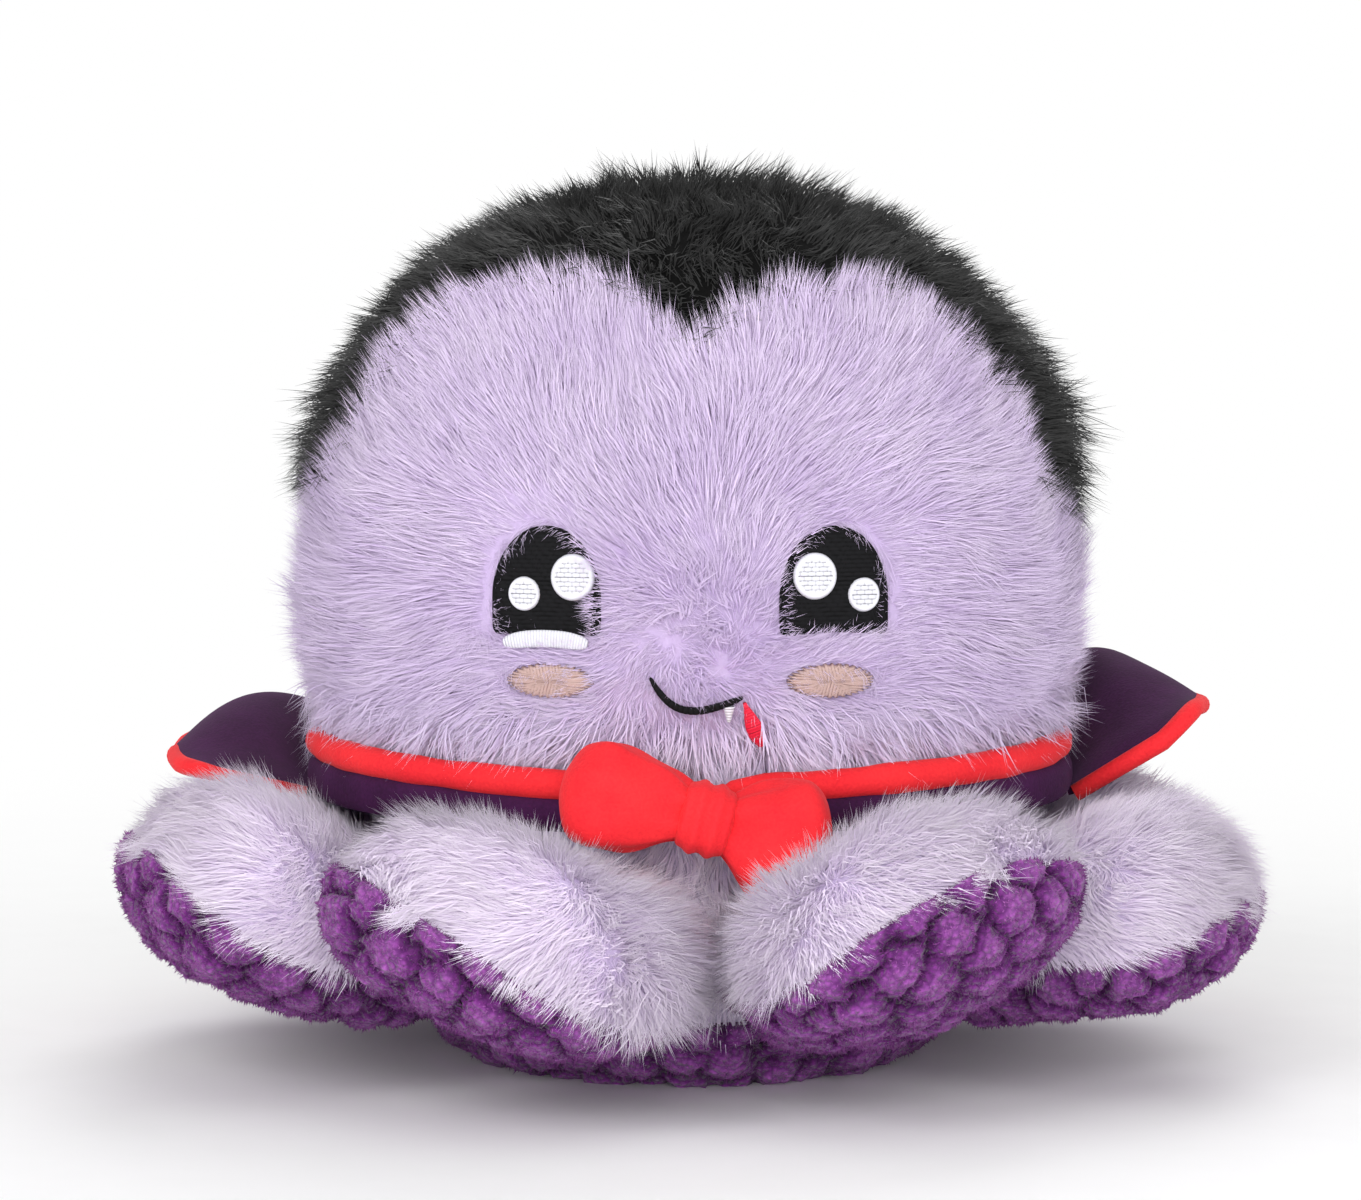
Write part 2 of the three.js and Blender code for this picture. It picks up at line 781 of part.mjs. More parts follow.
function armSpine(arm) {
  const reach = arm.reachShare * armReach;
  const rise = arm.curlShare * armCurl;
  const length = reach - hingeRadius;
  const lifted = armRootHeight + arm.liftShare * armLift;
  return new THREE.CubicBezierCurve3(
    new THREE.Vector3(hingeRadius, 0, armRootHeight),
    new THREE.Vector3(hingeRadius + length * armBendShare, 0, lifted),
    new THREE.Vector3(
      hingeRadius + length * armCurlStartShare,
      0,
      lifted + rise * armCurlLiftShare,
    ),
    new THREE.Vector3(reach, 0, armRootHeight + rise),
  );
}

// A place along an arm's spine, swayed to one side by the square of its share
function spinePlace(arm, spine, distance) {
  const share = Math.min(1, distance / spine.getLength());
  const centre = spine.getPointAt(share);
  centre.setY(arm.swayShare * armSway * share ** 2);
  return { tangent: spine.getTangentAt(share), centre };
}

// A station's fullness at the end of an arm, from 1 down to 0 over its round tip
function tipFullness(left, end) {
  const share = Math.min(1, left / end);
  return Math.sqrt(Math.max(0, 1 - (1 - share) ** 2));
}

// Stations along an arm: a round root about its seam, a swelling middle and a round tip
function armStations(arm, shrink, rootAngles, spineShares) {
  const spine = armSpine(arm);
  const endLength = spine.getLength() - shrink;
  const rootRadius = armRootRadius - shrink;
  const root = rootAngles.map((angle) => ({
    centre: new THREE.Vector3(hingeRadius - rootRadius * Math.cos(radians(angle)), 0, armRootHeight),
    tangent: new THREE.Vector3(1, 0, 0),
    roll: 0,
    halfWidth: (armRootHalfWidth - shrink) * (1 - armRootNarrowShare * (1 - Math.sin(radians(angle)))),
    above: rootRadius * Math.sin(radians(angle)),
    below: rootRadius * Math.sin(radians(angle)),
  }));
  const swell = spineShares.map((share) => {
    const left = endLength * (1 - share);
    const grown = Math.sin((Math.PI / 2) * Math.min(1, share / armSwellShare)) ** armSwellPower;
    const round = tipFullness(left, armEnd);
    return {
      ...spinePlace(arm, spine, share * endLength),
      roll: radians(arm.roll) * Math.min(1, share / armRollShare),
      halfWidth: (armRootHalfWidth + (armHalfWidth - armRootHalfWidth) * grown - shrink) * round,
      above: (armRootRadius + (armUp - armRootRadius) * grown - shrink) * round,
      below: (armRootRadius + (armDown - armRootRadius) * grown - shrink) * round,
    };
  });
  return [...root, ...swell];
}

function stationAxes({ tangent, roll }) {
  const side = new THREE.Vector3(0, 1, 0).applyAxisAngle(tangent, roll);
  const rise = new THREE.Vector3().crossVectors(tangent, side);
  return { side, rise };
}

function armRing(station, sides) {
  const { side, rise } = stationAxes(station);
  return Array.from({ length: sides }, (_, k) => {
    const [across, high] = superPoint((2 * Math.PI * k) / sides, armSectionPower);
    const lift = high > 0 ? station.above : station.below;
    return station.centre
      .clone()
      .addScaledVector(side, across * station.halfWidth)
      .addScaledVector(rise, high * lift);
  });
}

const armSides = 12;
const armInnerSides = 8;
const outerRootAngles = [14, 50, 90];
const outerSpineShares = [0.18, 0.36, 0.54, 0.7, 0.82, 0.91, 0.97];
const innerRootAngles = [16, 90];
const innerSpineShares = [0.25, 0.5, 0.72, 0.88, 0.96];

function armSolid(arm, shrink, sides, rootAngles, spineShares) {
  const stations = armStations(arm, shrink, rootAngles, spineShares);
  const rings = stations.map((station) => armRing(station, sides));
  const rootPole = new THREE.Vector3(
    hingeRadius - (armRootRadius - shrink),
    0,
    armRootHeight,
  );
  const spine = armSpine(arm);
  const tipPole = spinePlace(arm, spine, spine.getLength() - shrink).centre;
  return solidOf(loft(rings, rootPole, tipPole));
}

// Everything on the fur side of an arm's seam, past a gap
function upperRegion(arm, gap) {
  const stations = armStations(arm, 0, [0, 45, 90], [0.2, 0.4, 0.6, 0.8, 1]);
  const first = stations[0];
  const last = stations[stations.length - 1];
  const before = { ...first, centre: first.centre.clone().addScaledVector(first.tangent, -cutOverrun) };
  const after = { ...last, centre: last.centre.clone().addScaledVector(last.tangent, cutOverrun) };
  const wide = armHalfWidth + cutOverrun;
  const high = armUp + cutOverrun;
  const rings = [before, ...stations, after].map((station) => {
    const { side, rise } = stationAxes(station);
    const corners = [
      [wide, gap],
      [wide, high],
      [-wide, high],
      [-wide, gap],
    ];
    return corners.map(([across, lift]) =>
      station.centre.clone().addScaledVector(side, across).addScaledVector(rise, lift),
    );
  });
  return solidOf(flatLoft(rings));
}

function buildArm(arm) {
  const holder = new THREE.Group();
  holder.rotation.z = radians(arm.azimuth);
  toy.add(holder);
  const outer = armSolid(arm, 0, armSides, outerRootAngles, outerSpineShares);
  const inner = armSolid(arm, armWall, armInnerSides, innerRootAngles, innerSpineShares);
  const fill = armSolid(arm, armWall + seamGap, armInnerSides, innerRootAngles, innerSpineShares);
  const shell = outer.subtract(inner);
  addPart(`arm_${arm.name}_top`, shell.intersect(upperRegion(arm, seamGap / 2)), paleFur, holder);
  addPart(`arm_${arm.name}_sole`, shell.subtract(upperRegion(arm, -seamGap / 2)), bobbleFabric, holder);
  addPart(`arm_${arm.name}_fill`, fill, stuffing, holder);
}

// Collar: two folded flaps from the middle of the front round to the back, with a rolled edge

function collarPlace(azimuth, halfWidth, halfDepth) {
  const [x, y] = superPoint(radians(azimuth), planPower);
  return new THREE.Vector3(x * halfWidth, y * halfDepth, 0);
}

function collarRise(azimuth, front, side) {
  const share = Math.sin(radians(azimuth)) < 0 ? Math.abs(Math.cos(radians(azimuth))) ** 1.3 : 1;
  return front + (side - front) * share;
}

function flapAzimuths(side, steps) {
  return Array.from({ length: steps + 1 }, (_, k) => {
    const along = collarStart + ((collarEnd - collarStart) * k) / steps;
    return -90 + side * along;
  });
}

function collarFlap(side) {
  const steps = 20;
  const rings = flapAzimuths(side, steps).map((azimuth) => {
    const top = collarRise(azimuth, collarFrontTop, collarSideTop);
    const low = collarRise(azimuth, collarFrontBottom, collarSideBottom);
    const outer = collarPlace(azimuth, collarHalfWidth, collarHalfDepth);
    const inward = outer.clone().normalize();
    const neck = inward.clone().multiplyScalar(neckRadius + collarWall);
    const at = (base, move, height) => base.clone().addScaledVector(inward, move).setZ(height);
    return [
      at(neck, 0, low),
      at(outer, -collarWall * 0.5, low),
      at(outer, 0, low + collarWall * 0.4),
      at(outer, 0, top - collarWall * 0.3),
      at(outer, -collarWall * 0.2, top),
      at(outer, -collarWall, top),
      at(neck, 0, low + collarWall * 0.6),
    ];
  });
  return solidOf(flatLoft(rings));
}

function tube(path, radius, sides) {
  const rings = path.map((point, k) => {
    const ahead = path[Math.min(path.length - 1, k + 1)];
    const behind = path[Math.max(0, k - 1)];
    const tangent = ahead.clone().sub(behind).normalize();
    const side = new THREE.Vector3().crossVectors(tangent, up).normalize();
    const rise = new THREE.Vector3().crossVectors(side, tangent);
    return Array.from({ length: sides }, (_, n) => {
      const angle = (2 * Math.PI * n) / sides;
      return point
        .clone()
        .addScaledVector(side, radius * Math.cos(angle))
        .addScaledVector(rise, radius * Math.sin(angle));
    });
  });
  return solidOf(flatLoft(rings));
}

function collarPiping(side) {
  const path = flapAzimuths(side, 20).map((azimuth) => {
    const top = collarRise(azimuth, collarFrontTop, collarSideTop) + seamGap + pipingRadius;
    const outer = collarPlace(azimuth, collarHalfWidth, collarHalfDepth);
    const inward = outer.clone().normalize();
    return outer.addScaledVector(inward, -collarWall * 0.5).setZ(top);
  });
  return tube(path, pipingRadius, 7);
}

// One side of the toy, up to half a gap from the middle
function sideOf(side) {
  const wide = 4 * headHalfWidth;
  const box = new THREE.BoxGeometry(wide, wide, wide);
  box.translate((side * (wide + seamGap)) / 2, 0, 0);
  return solidOf(box);
}

// Cape: one panel sewn round the back of the neck, laid over the arms under it

const capeNeckHalfWidth = collarHalfWidth - capeInset;
const capeNeckHalfDepth = collarHalfDepth - capeInset;
const capeNeckHeight = collarSideBottom - seamGap;

function capeAngleShare(azimuth) {
  return (2 * (azimuth - capeStart)) / (capeEnd - capeStart) - 1;
}

// Heights of the cape over the arms under it and at its two corners, with a sag between each two arms
function capeRidges() {
  const under = arms
    .filter(({ azimuth }) => azimuth > 0 && azimuth < 180)
    .map(({ azimuth, curlShare }) => [azimuth, armRootHeight + armUp + curlShare * armCurl + capeLift])
    .sort((a, b) => a[0] - b[0]);
  const knots = [[capeStart, capeNeckHeight + capeRightCorner]];
  under.forEach(([azimuth, height], k) => {
    knots.push([azimuth, height]);
    if (k < under.length - 1) {
      const [nextAzimuth, nextHeight] = under[k + 1];
      knots.push([(azimuth + nextAzimuth) / 2, Math.min(height, nextHeight) - capeSag]);
    }
  });
  knots.push([capeEnd, capeNeckHeight + capeLeftCorner]);
  return knots;
}

function capeRidge(azimuth, knots) {
  const above = knots.findIndex(([place]) => place >= Math.min(azimuth, capeEnd));
  const high = Math.max(1, above);
  const [startAzimuth, startHeight] = knots[high - 1];
  const [endAzimuth, endHeight] = knots[high];
  const share = THREE.MathUtils.smoothstep(azimuth, startAzimuth, endAzimuth);
  return startHeight + (endHeight - startHeight) * share;
}

function capePoint(azimuth, share, knots) {
  const aside = Math.abs(capeAngleShare(azimuth));
  const spread = (1 - aside ** capeEdgePower) ** (1 / capeEdgePower);
  const corner = aside ** capeCornerPower;
  const out = share * (capeEdgeShare + (1 - capeEdgeShare) * spread);
  const neck = collarPlace(azimuth, capeNeckHalfWidth, capeNeckHalfDepth);
  const hem = collarPlace(azimuth, capeHemHalfWidth, capeHemHalfDepth);
  const point = neck.lerp(hem, out);
  const middleClimb = Math.sin((Math.PI / 2) * Math.min(1, out / capeTopShare));
  const climb = middleClimb + (out ** capeCornerClimbPower - middleClimb) * corner;
  const droop = capeDroop * Math.max(0, (out - capeTopShare) / (1 - capeTopShare)) ** 2 * (1 - corner);
  const ridge = capeRidge(azimuth, knots);
  return point.setZ(capeNeckHeight + (ridge - capeNeckHeight) * climb - droop);
}

const capeColumns = 36;
const capeRowShares = [0, 0.2, 0.45, 0.72, 1];

// A sheet of points made solid by a thickness straight down
function slab(grid, thickness) {
  const rows = grid.length;
  const columns = grid[0].length;
  const rings = grid.map((row) => {
    const under = row.map((point) => point.clone().setZ(point.z - thickness)).reverse();
    return [...row, ...under];
  });
  const points = rings.flat();
  const sides = 2 * columns;
  const faces = [];
  for (let row = 0; row < rows - 1; row += 1) {
    for (let side = 0; side < sides; side += 1) {
      const next = (side + 1) % sides;
      const low = row * sides;
      const high = low + sides;
      faces.push(low + side, low + next, high + next, low + side, high + next, high + side);
    }
  }
  const cap = (row, flip) => {
    for (let column = 0; column < columns - 1; column += 1) {
      const a = row * sides + column;
      const b = a + 1;
      const c = row * sides + (sides - 2 - column);
      const d = c + 1;
      const quad = flip ? [a, d, c, a, c, b] : [a, c, d, a, b, c];
      faces.push(...quad);
    }
  };
  cap(0, true);
  cap(rows - 1, false);
  const geometry = new THREE.BufferGeometry().setFromPoints(points);
  geometry.setIndex(faces);
  return solidOf(geometry);
}

function capeAzimuths() {
  return Array.from({ length: capeColumns + 1 }, (_, k) => {
    const share = k / capeColumns;
    const eased = (1 - Math.cos(Math.PI * share)) / 2;
    return capeStart + (capeEnd - capeStart) * (share + (eased - share) * capeEaseShare);
  });
}

function buildCape(neighbours) {
  const knots = capeRidges();
  const grid = capeRowShares.map((share) =>
    capeAzimuths().map((azimuth) => capePoint(azimuth, share, knots)),
  );
  const panel = neighbours.reduce((all, one) => all.subtract(one), slab(grid, capeWall));
  const edge = grid[grid.length - 1].map((point, k) => {
    const inner = grid[grid.length - 2][k];
    const outward = point.clone().sub(inner).setZ(0).normalize();
    const reach = capeTrimRadius + seamGap;
    return point.clone().addScaledVector(outward, reach).setZ(point.z - capeWall / 2);
  });
  const trim = neighbours.reduce((all, one) => all.subtract(one), tube(edge, capeTrimRadius, 6));
  addPart("cape_panel", panel, purpleVelour);
  const room = slab(grid, capeWall + 4 * seamGap).translate([0, 0, 2 * seamGap]);
  const rooms = [-seamGap, 0, seamGap].flatMap((x) =>
    [-seamGap, 0, seamGap].map((y) => room.translate([x, y, 0])),
  );
  addPart("cape_trim", rooms.reduce((all, one) => all.subtract(one), trim), redVelour);
}

// Bow: two padded lobes pinched into a knot

const bowSides = 14;
const bowLobeShares = [0, 0.12, 0.3, 0.5, 0.7, 0.85, 0.95, 1];
const bowKnotShares = [-1, -0.7, 0, 0.7, 1];

function bowLobe(side) {
  const start = bowKnotHalfLength + seamGap;
  const length = bowLobeLength - start;
  const rings = bowLobeShares.map((share) => {
    const swell = Math.sin((Math.PI / 2) * Math.min(1, share / bowSwellShare));
    const end = tipFullness((1 - share) * length, bowLobeHalfDepth);
    const round = bowEndShare + (1 - bowEndShare) * end;
    const tall = (bowWaistHalf + (bowLobeHalfHeight - bowWaistHalf) * swell) * round;
    const deep = (bowWaistHalf + (bowLobeHalfDepth - bowWaistHalf) * swell) * round;
    return Array.from({ length: bowSides }, (_, k) => {
      const [y, z] = superPoint((2 * Math.PI * k) / bowSides, bowLobePower);
      return new THREE.Vector3(side * (start + share * length), y * deep, z * tall);
    });
  });
  return solidOf(flatLoft(rings));
}

function bowKnot() {
  const rings = bowKnotShares.map((share) => {
    const round = bowKnotEndShare + (1 - bowKnotEndShare) * Math.sqrt(1 - share ** 2);
    return Array.from({ length: bowSides }, (_, k) => {
      const [y, z] = superPoint((2 * Math.PI * k) / bowSides, bowKnotPower);
      return new THREE.Vector3(
        share * bowKnotHalfLength,
        y * bowKnotHalfDepth * round,
        z * bowKnotHalfHeight * round,
      );
    });
  });
  return solidOf(flatLoft(rings));
}

function buildBow(neighbours) {
  const bowFront = -collarHalfDepth - seamGap - bowKnotHalfDepth;
  const pieces = [
    ["bow_left_lobe", bowLobe(-1)],
    ["bow_right_lobe", bowLobe(1)],
    ["bow_knot", bowKnot()],
  ];
  pieces.forEach(([name, piece]) => {
    const placed = piece.rotate([0, bowTilt, 0]).translate([bowPlace, bowFront, bowHeight]);
    addPart(name, neighbours.reduce((all, one) => all.subtract(one), placed), redVelour);
  });
}

// Assembly

buildBody();
buildHead();
buildHeadFill();
buildSqueaker();
arms.forEach(buildArm);

// The space of each front arm at rest and lifted, which the bow keeps clear of
function armRooms(arm) {
  const room = armSolid(arm, -bowClearance, armSides, outerRootAngles, outerSpineShares);
  const lifted = room
    .translate([-hingeRadius, 0, -armRootHeight])
    .rotate([0, -frontArmLift, 0])
    .translate([hingeRadius, 0, armRootHeight]);
  return [room, lifted].map((one) => one.rotate([0, 0, arm.azimuth]));
}

const frontArms = arms.filter(({ name }) => name.startsWith("front"));
const headRoom = headSolid(seamGap, headFloor - seamGap, headSides);
const bodyRoom = bodySolid(seamGap);
const sides = { left: -1, right: 1 };
Object.entries(sides).forEach(([label, side]) => {
  const flap = collarFlap(side).intersect(sideOf(side));
  const piping = collarPiping(side).intersect(sideOf(side));
  addPart(`collar_${label}`, flap.subtract(headRoom).subtract(bodyRoom), purpleVelour);
  addPart(`collar_piping_${label}`, piping.subtract(headRoom), redVelour);
});
buildCape([headRoom]);
buildBow([headRoom, ...frontArms.flatMap(armRooms)]);

export default toy;
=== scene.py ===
import math

import bpy
import numpy as np
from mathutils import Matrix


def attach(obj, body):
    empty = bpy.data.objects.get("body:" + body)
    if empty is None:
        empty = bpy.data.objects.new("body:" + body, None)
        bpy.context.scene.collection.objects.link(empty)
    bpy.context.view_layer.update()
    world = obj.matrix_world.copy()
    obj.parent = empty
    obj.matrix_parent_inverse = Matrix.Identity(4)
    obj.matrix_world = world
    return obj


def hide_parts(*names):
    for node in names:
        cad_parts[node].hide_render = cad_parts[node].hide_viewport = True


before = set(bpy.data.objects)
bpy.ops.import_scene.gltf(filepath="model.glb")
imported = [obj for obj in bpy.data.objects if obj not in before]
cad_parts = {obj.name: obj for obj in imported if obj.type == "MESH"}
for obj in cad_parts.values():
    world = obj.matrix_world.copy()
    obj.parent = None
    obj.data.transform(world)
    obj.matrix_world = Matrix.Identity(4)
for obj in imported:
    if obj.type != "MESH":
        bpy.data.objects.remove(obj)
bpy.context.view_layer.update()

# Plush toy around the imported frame. Sizes are in millimetres here and become metres in a mesh.
MM = 0.001


# Camera: level with the head's middle, 5 degrees down, as the photograph was taken

IMAGE_WIDTH = 1361
MM_PER_PIXEL = 0.217
CAMERA_DISTANCE = 1300
CAMERA_ELEVATION = math.radians(5)
CAMERA_TARGET = (-2.0, 0.0, 99.0)
SENSOR_WIDTH = 36

camera_data = bpy.data.cameras.new("camera")
camera_data.sensor_width = SENSOR_WIDTH
camera_data.lens = SENSOR_WIDTH * CAMERA_DISTANCE / (IMAGE_WIDTH * MM_PER_PIXEL)
camera = bpy.data.objects.new("camera", camera_data)
camera.location = (
    CAMERA_TARGET[0] * MM,
    -CAMERA_DISTANCE * math.cos(CAMERA_ELEVATION) * MM,
    (CAMERA_TARGET[2] + CAMERA_DISTANCE * math.sin(CAMERA_ELEVATION)) * MM,
)
camera.rotation_euler = (math.pi / 2 - CAMERA_ELEVATION, 0, 0)
bpy.context.scene.collection.objects.link(camera)
bpy.context.scene.camera = camera


# Sizes shared with the solids of the frame

BODY_TURN, BODY_SIDES = 2.5, 8
BODY_HEIGHT, BODY_APOTHEM = 65.0, 54.0
NECK_RADIUS, SHOULDER_HEIGHT = 47.0, 42.0
BASE_REST_RADIUS, BASE_PUFF = 36.0, 15.0
SEAM_GAP = 0.3

HEAD_HALF_WIDTH, HEAD_HALF_DEPTH = 84.0, 69.0
HEAD_FLOOR = BODY_HEIGHT + SEAM_GAP
HEAD_WIDEST = HEAD_FLOOR + 42.7
CROWN_RISE, HEAD_DROP = 83.0, 44.7
HEAD_CROWN = HEAD_WIDEST + CROWN_RISE
CROWN_POWER, JAW_POWER, PLAN_POWER = 2.25, 4.5, 2.15
WIDEST_SHARE = 0.4

# The hairline in the front view (share of the half width, share of the height) and the side seam in the side
# view (share of the half depth, share of the height)
HAIRLINE = np.array([
    [-1.06, 0.4], [-0.95, 0.43], [-0.875, 0.49], [-0.79, 0.61], [-0.675, 0.71], [-0.54, 0.785],
    [-0.36, 0.815], [-0.18, 0.8], [-0.07, 0.745], [0, 0.715], [0.08, 0.74], [0.19, 0.78],
    [0.38, 0.805], [0.54, 0.78], [0.68, 0.695], [0.795, 0.59], [0.865, 0.465], [0.935, 0.38], [1.06, 0.34],
])
SIDE_SEAM = np.array([
    [0.42, -0.2], [0.4, 0], [0.22, 0.2], [0.02, 0.37], [-0.2, 0.45], [-0.34, 0.5], [-0.38, 1.2],
])


# Numbers and noise

def vector(*parts):
    """Numbers or arrays side by side along a new last axis."""
    return np.stack(np.broadcast_arrays(*parts), -1)


def unit(vectors):
    """Each vector over its own length."""
    return vectors / np.maximum(np.linalg.norm(vectors, axis=-1, keepdims=True), 1e-9)


def flat_on(vectors, normals):
    """The part of each vector that lies in the surface."""
    return vectors - (vectors * normals).sum(-1, keepdims=True) * normals


def turned(flow, normals, turn):
    """Directions in the surface turned about its normals."""
    return np.cos(turn)[:, None] * flow + np.sin(turn)[:, None] * np.cross(normals, flow)


def around(count):
    """Evenly spaced angles of a full turn."""
    return np.linspace(0, 2 * np.pi, count, endpoint=False)


def bell(value, middle, width):
    """One at the middle, and one over e at a width from it."""
    return np.exp(-((value - middle) / width) ** 2)


def smooth_step(value, low, high):
    """0 up to low and 1 from high on, and between them the share squared times 3 less twice the share."""
    share = np.clip((value - low) / (high - low), 0, 1)
    return share * share * (3 - 2 * share)


def super_point(angle, power):
    """Cosine and sine of an angle, each raised to 2 over power with its sign kept."""
    c, s = np.cos(angle), np.sin(angle)
    return np.sign(c) * np.abs(c) ** (2 / power), np.sign(s) * np.abs(s) ** (2 / power)


def cell_random(cells, salt):
    """Three random numbers from 0 to 1 for each whole-numbered cell: its numbers times primes, mixed and cut."""
    low_32, low_24 = 0xFFFFFFFF, 0xFFFFFF
    c = cells.astype(np.int64)
    mixed = (c[..., 0] * 73856093) ^ (c[..., 1] * 19349663) ^ (c[..., 2] * 83492791) ^ (salt * 2654435761)
    values = []
    for prime in (1274126177, 2246822519, 3266489917):
        h = mixed & low_32
        h = ((h ^ (h >> 15)) * prime) & low_32
        h = ((h ^ (h >> 13)) * 668265263) & low_32
        values.append(((h ^ (h >> 16)) & low_24) / float(low_24))
    return np.stack(values, -1)


def nearest_tuft(points, size, salt):
    """The nearest of a set of scattered points, one in each cube of a grid, and three random numbers of it."""
    home = np.floor(points / size)
    best = np.full(len(points), np.inf)
    centre, chance = np.zeros_like(points), np.zeros_like(points)
    for step in np.array(np.meshgrid([-1, 0, 1], [-1, 0, 1], [-1, 0, 1])).reshape(3, -1).T:
        cell = home + step
        there = (cell + cell_random(cell, salt)) * size
        gap = ((points - there) ** 2).sum(-1)
        nearer = gap < best
        best[nearer] = gap[nearer]
        centre[nearer] = there[nearer]
        chance[nearer] = cell_random(cell[nearer], salt + 7)
    return centre, chance


def waves(points, length, salt, count=6):
    """Smooth noise from about -1 to 1: the mean of sines in random directions, about one length apart."""
    dice = np.random.default_rng(salt)
    way = dice.normal(size=(count, 3))
    way /= np.linalg.norm(way, axis=1, keepdims=True)
    way *= (2 * np.pi / length) * dice.uniform(0.7, 1.5, (count, 1))
    start = dice.uniform(0, 2 * np.pi, count)
    return np.sin(points @ way.T + start).sum(-1) / math.sqrt(count)


# Meshes

def on_grid(surface, rows, columns):
    """A surface's points at every pair of a row's and a column's value, as rings."""
    rr, cc = np.meshgrid(rows, columns, indexing="ij")
    return surface(rr.ravel(), cc.ravel()).reshape(len(rows), len(columns), 3)


def make_mesh(name, points, quads=(), triangles=(), smooth=True):
    """A mesh of points in millimetres, with faces of four and of three sides as arrays of point numbers."""
    quads = np.asarray(quads, np.int32).reshape(-1, 4)
    triangles = np.asarray(triangles, np.int32).reshape(-1, 3)
    mesh = bpy.data.meshes.new(name)
    mesh.vertices.add(len(points))
    mesh.vertices.foreach_set("co", (np.asarray(points, np.float32) * MM).ravel())
    loops = np.concatenate([quads.ravel(), triangles.ravel()])
    mesh.loops.add(len(loops))
    mesh.loops.foreach_set("vertex_index", loops)
    sizes = np.repeat([4, 3], [len(quads), len(triangles)]).astype(np.int32)
    mesh.polygons.add(len(sizes))
    mesh.polygons.foreach_set("loop_start", np.concatenate([[0], np.cumsum(sizes)[:-1]]).astype(np.int32))
    mesh.polygons.foreach_set("loop_total", sizes)
    mesh.polygons.foreach_set("use_smooth", np.full(len(sizes), smooth))
    mesh.update(calc_edges=True)
    mesh.validate()
    return mesh


def set_values(mesh, name, values):
    """One number at each point of a mesh, for its material to read."""
    layer = mesh.attributes.new(name, "FLOAT", "POINT")
    layer.data.foreach_set("value", np.asarray(values, np.float32).ravel())


def add_piece(mesh, material, node):
    """A finished piece: its mesh in place, its material, the solid it stands for and that solid's body."""
    piece = bpy.data.objects.new(mesh.name, mesh)
    bpy.context.scene.collection.objects.link(piece)
    mesh.materials.append(material)
    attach(piece, node.rsplit("_", 1)[0] if node.startswith("arm_") else "torso")
    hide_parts(node)
    return piece


def grid_quads(rows, columns, wrap):
    """Faces of a grid whose columns may close on themselves."""
    r, c = np.meshgrid(np.arange(rows - 1), np.arange(columns if wrap else columns - 1), indexing="ij")
    n = (c + 1) % columns
    return vector(r * columns + c, r * columns + n, (r + 1) * columns + n, (r + 1) * columns + c).reshape(-1, 4)


def closed_skin(rings):
    """Points, quads and end triangles of rings joined into one closed skin, with a pole in each end ring's middle.

    The faces are turned round if the skin's volume comes out negative.
    """
    rows, columns = rings.shape[:2]
    points = np.concatenate([rings.reshape(-1, 3), rings[0].mean(0)[None], rings[-1].mean(0)[None]])
    pole, last = rows * columns, (rows - 1) * columns
    here = np.arange(columns)
    after = (here + 1) % columns
    ends = np.concatenate([vector(pole, after, here), vector(pole + 1, last + here, last + after)])
    quads = grid_quads(rows, columns, True)
    split = np.concatenate([quads[:, [0, 1, 2]], quads[:, [0, 2, 3]], ends])
    a, b, c = (points[split[:, k]] for k in range(3))
    if (a * np.cross(b, c)).sum() < 0:
        quads, ends = quads[:, ::-1], ends[:, ::-1]
    return points, quads, ends


def skin_mesh(name, rings):
    """Rings as the mesh of one closed skin."""
    return make_mesh(name, *closed_skin(rings))


def part_mesh(name, points, quads, ends):
    """A mesh of some faces of a skin with the points that they use, and those points' old numbers."""
    used, numbers = np.unique(np.concatenate([quads.ravel(), ends.ravel()]), return_inverse=True)
    fours, threes = numbers[:quads.size].reshape(-1, 4), numbers[quads.size:].reshape(-1, 3)
    return make_mesh(name, points[used], fours, threes), used


def tube_rings(path, radius, sides):
    """Rings of a round section carried along a path, square to it."""
    ahead = unit(np.gradient(path, axis=0))
    side = unit(np.cross(ahead, np.array([0, 0, 1.0])))
    rise = np.cross(side, ahead)
    turn = around(sides)
    ring = np.cos(turn)[None, :, None] * side[:, None] + np.sin(turn)[None, :, None] * rise[:, None]
    return path[:, None] + radius[:, None, None] * ring


# Materials


def feed(tree, node, inputs):
    """Puts a value, or a link from another node's socket, on each of a node's inputs."""
    for socket, value in inputs.items():
        if isinstance(value, bpy.types.NodeSocket):
            tree.links.new(value, node.inputs[socket])
        else:
            node.inputs[socket].default_value = value


def add_node(tree, kind, inputs=None, **settings):
    """A shader node with its settings, and its inputs fed."""
    node = tree.nodes.new("ShaderNode" + kind)
    for key, value in settings.items():
        setattr(node, key, value)
    feed(tree, node, inputs or {})
    return node


def new_material(name, roughness, gloss, sheen=0.0, sheen_roughness=0.5):
    """A material with its shader's plain numbers."""
    material = bpy.data.materials.new(name)
    material.use_nodes = True
    tree = material.node_tree
    shader = tree.nodes["Principled BSDF"]
    feed(tree, shader, {"Roughness": roughness, "Specular IOR Level": gloss, "Sheen Weight": sheen,
                        "Sheen Roughness": sheen_roughness})
    return material, tree, shader


def linear(hex_colour):
    """Red, green and blue of a written colour as the light values that a shader takes."""
    parts = [int(hex_colour[k:k + 2], 16) / 255 for k in (1, 3, 5)]
    return tuple(v / 12.92 if v <= 0.04045 else ((v + 0.055) / 1.055) ** 2.4 for v in parts)


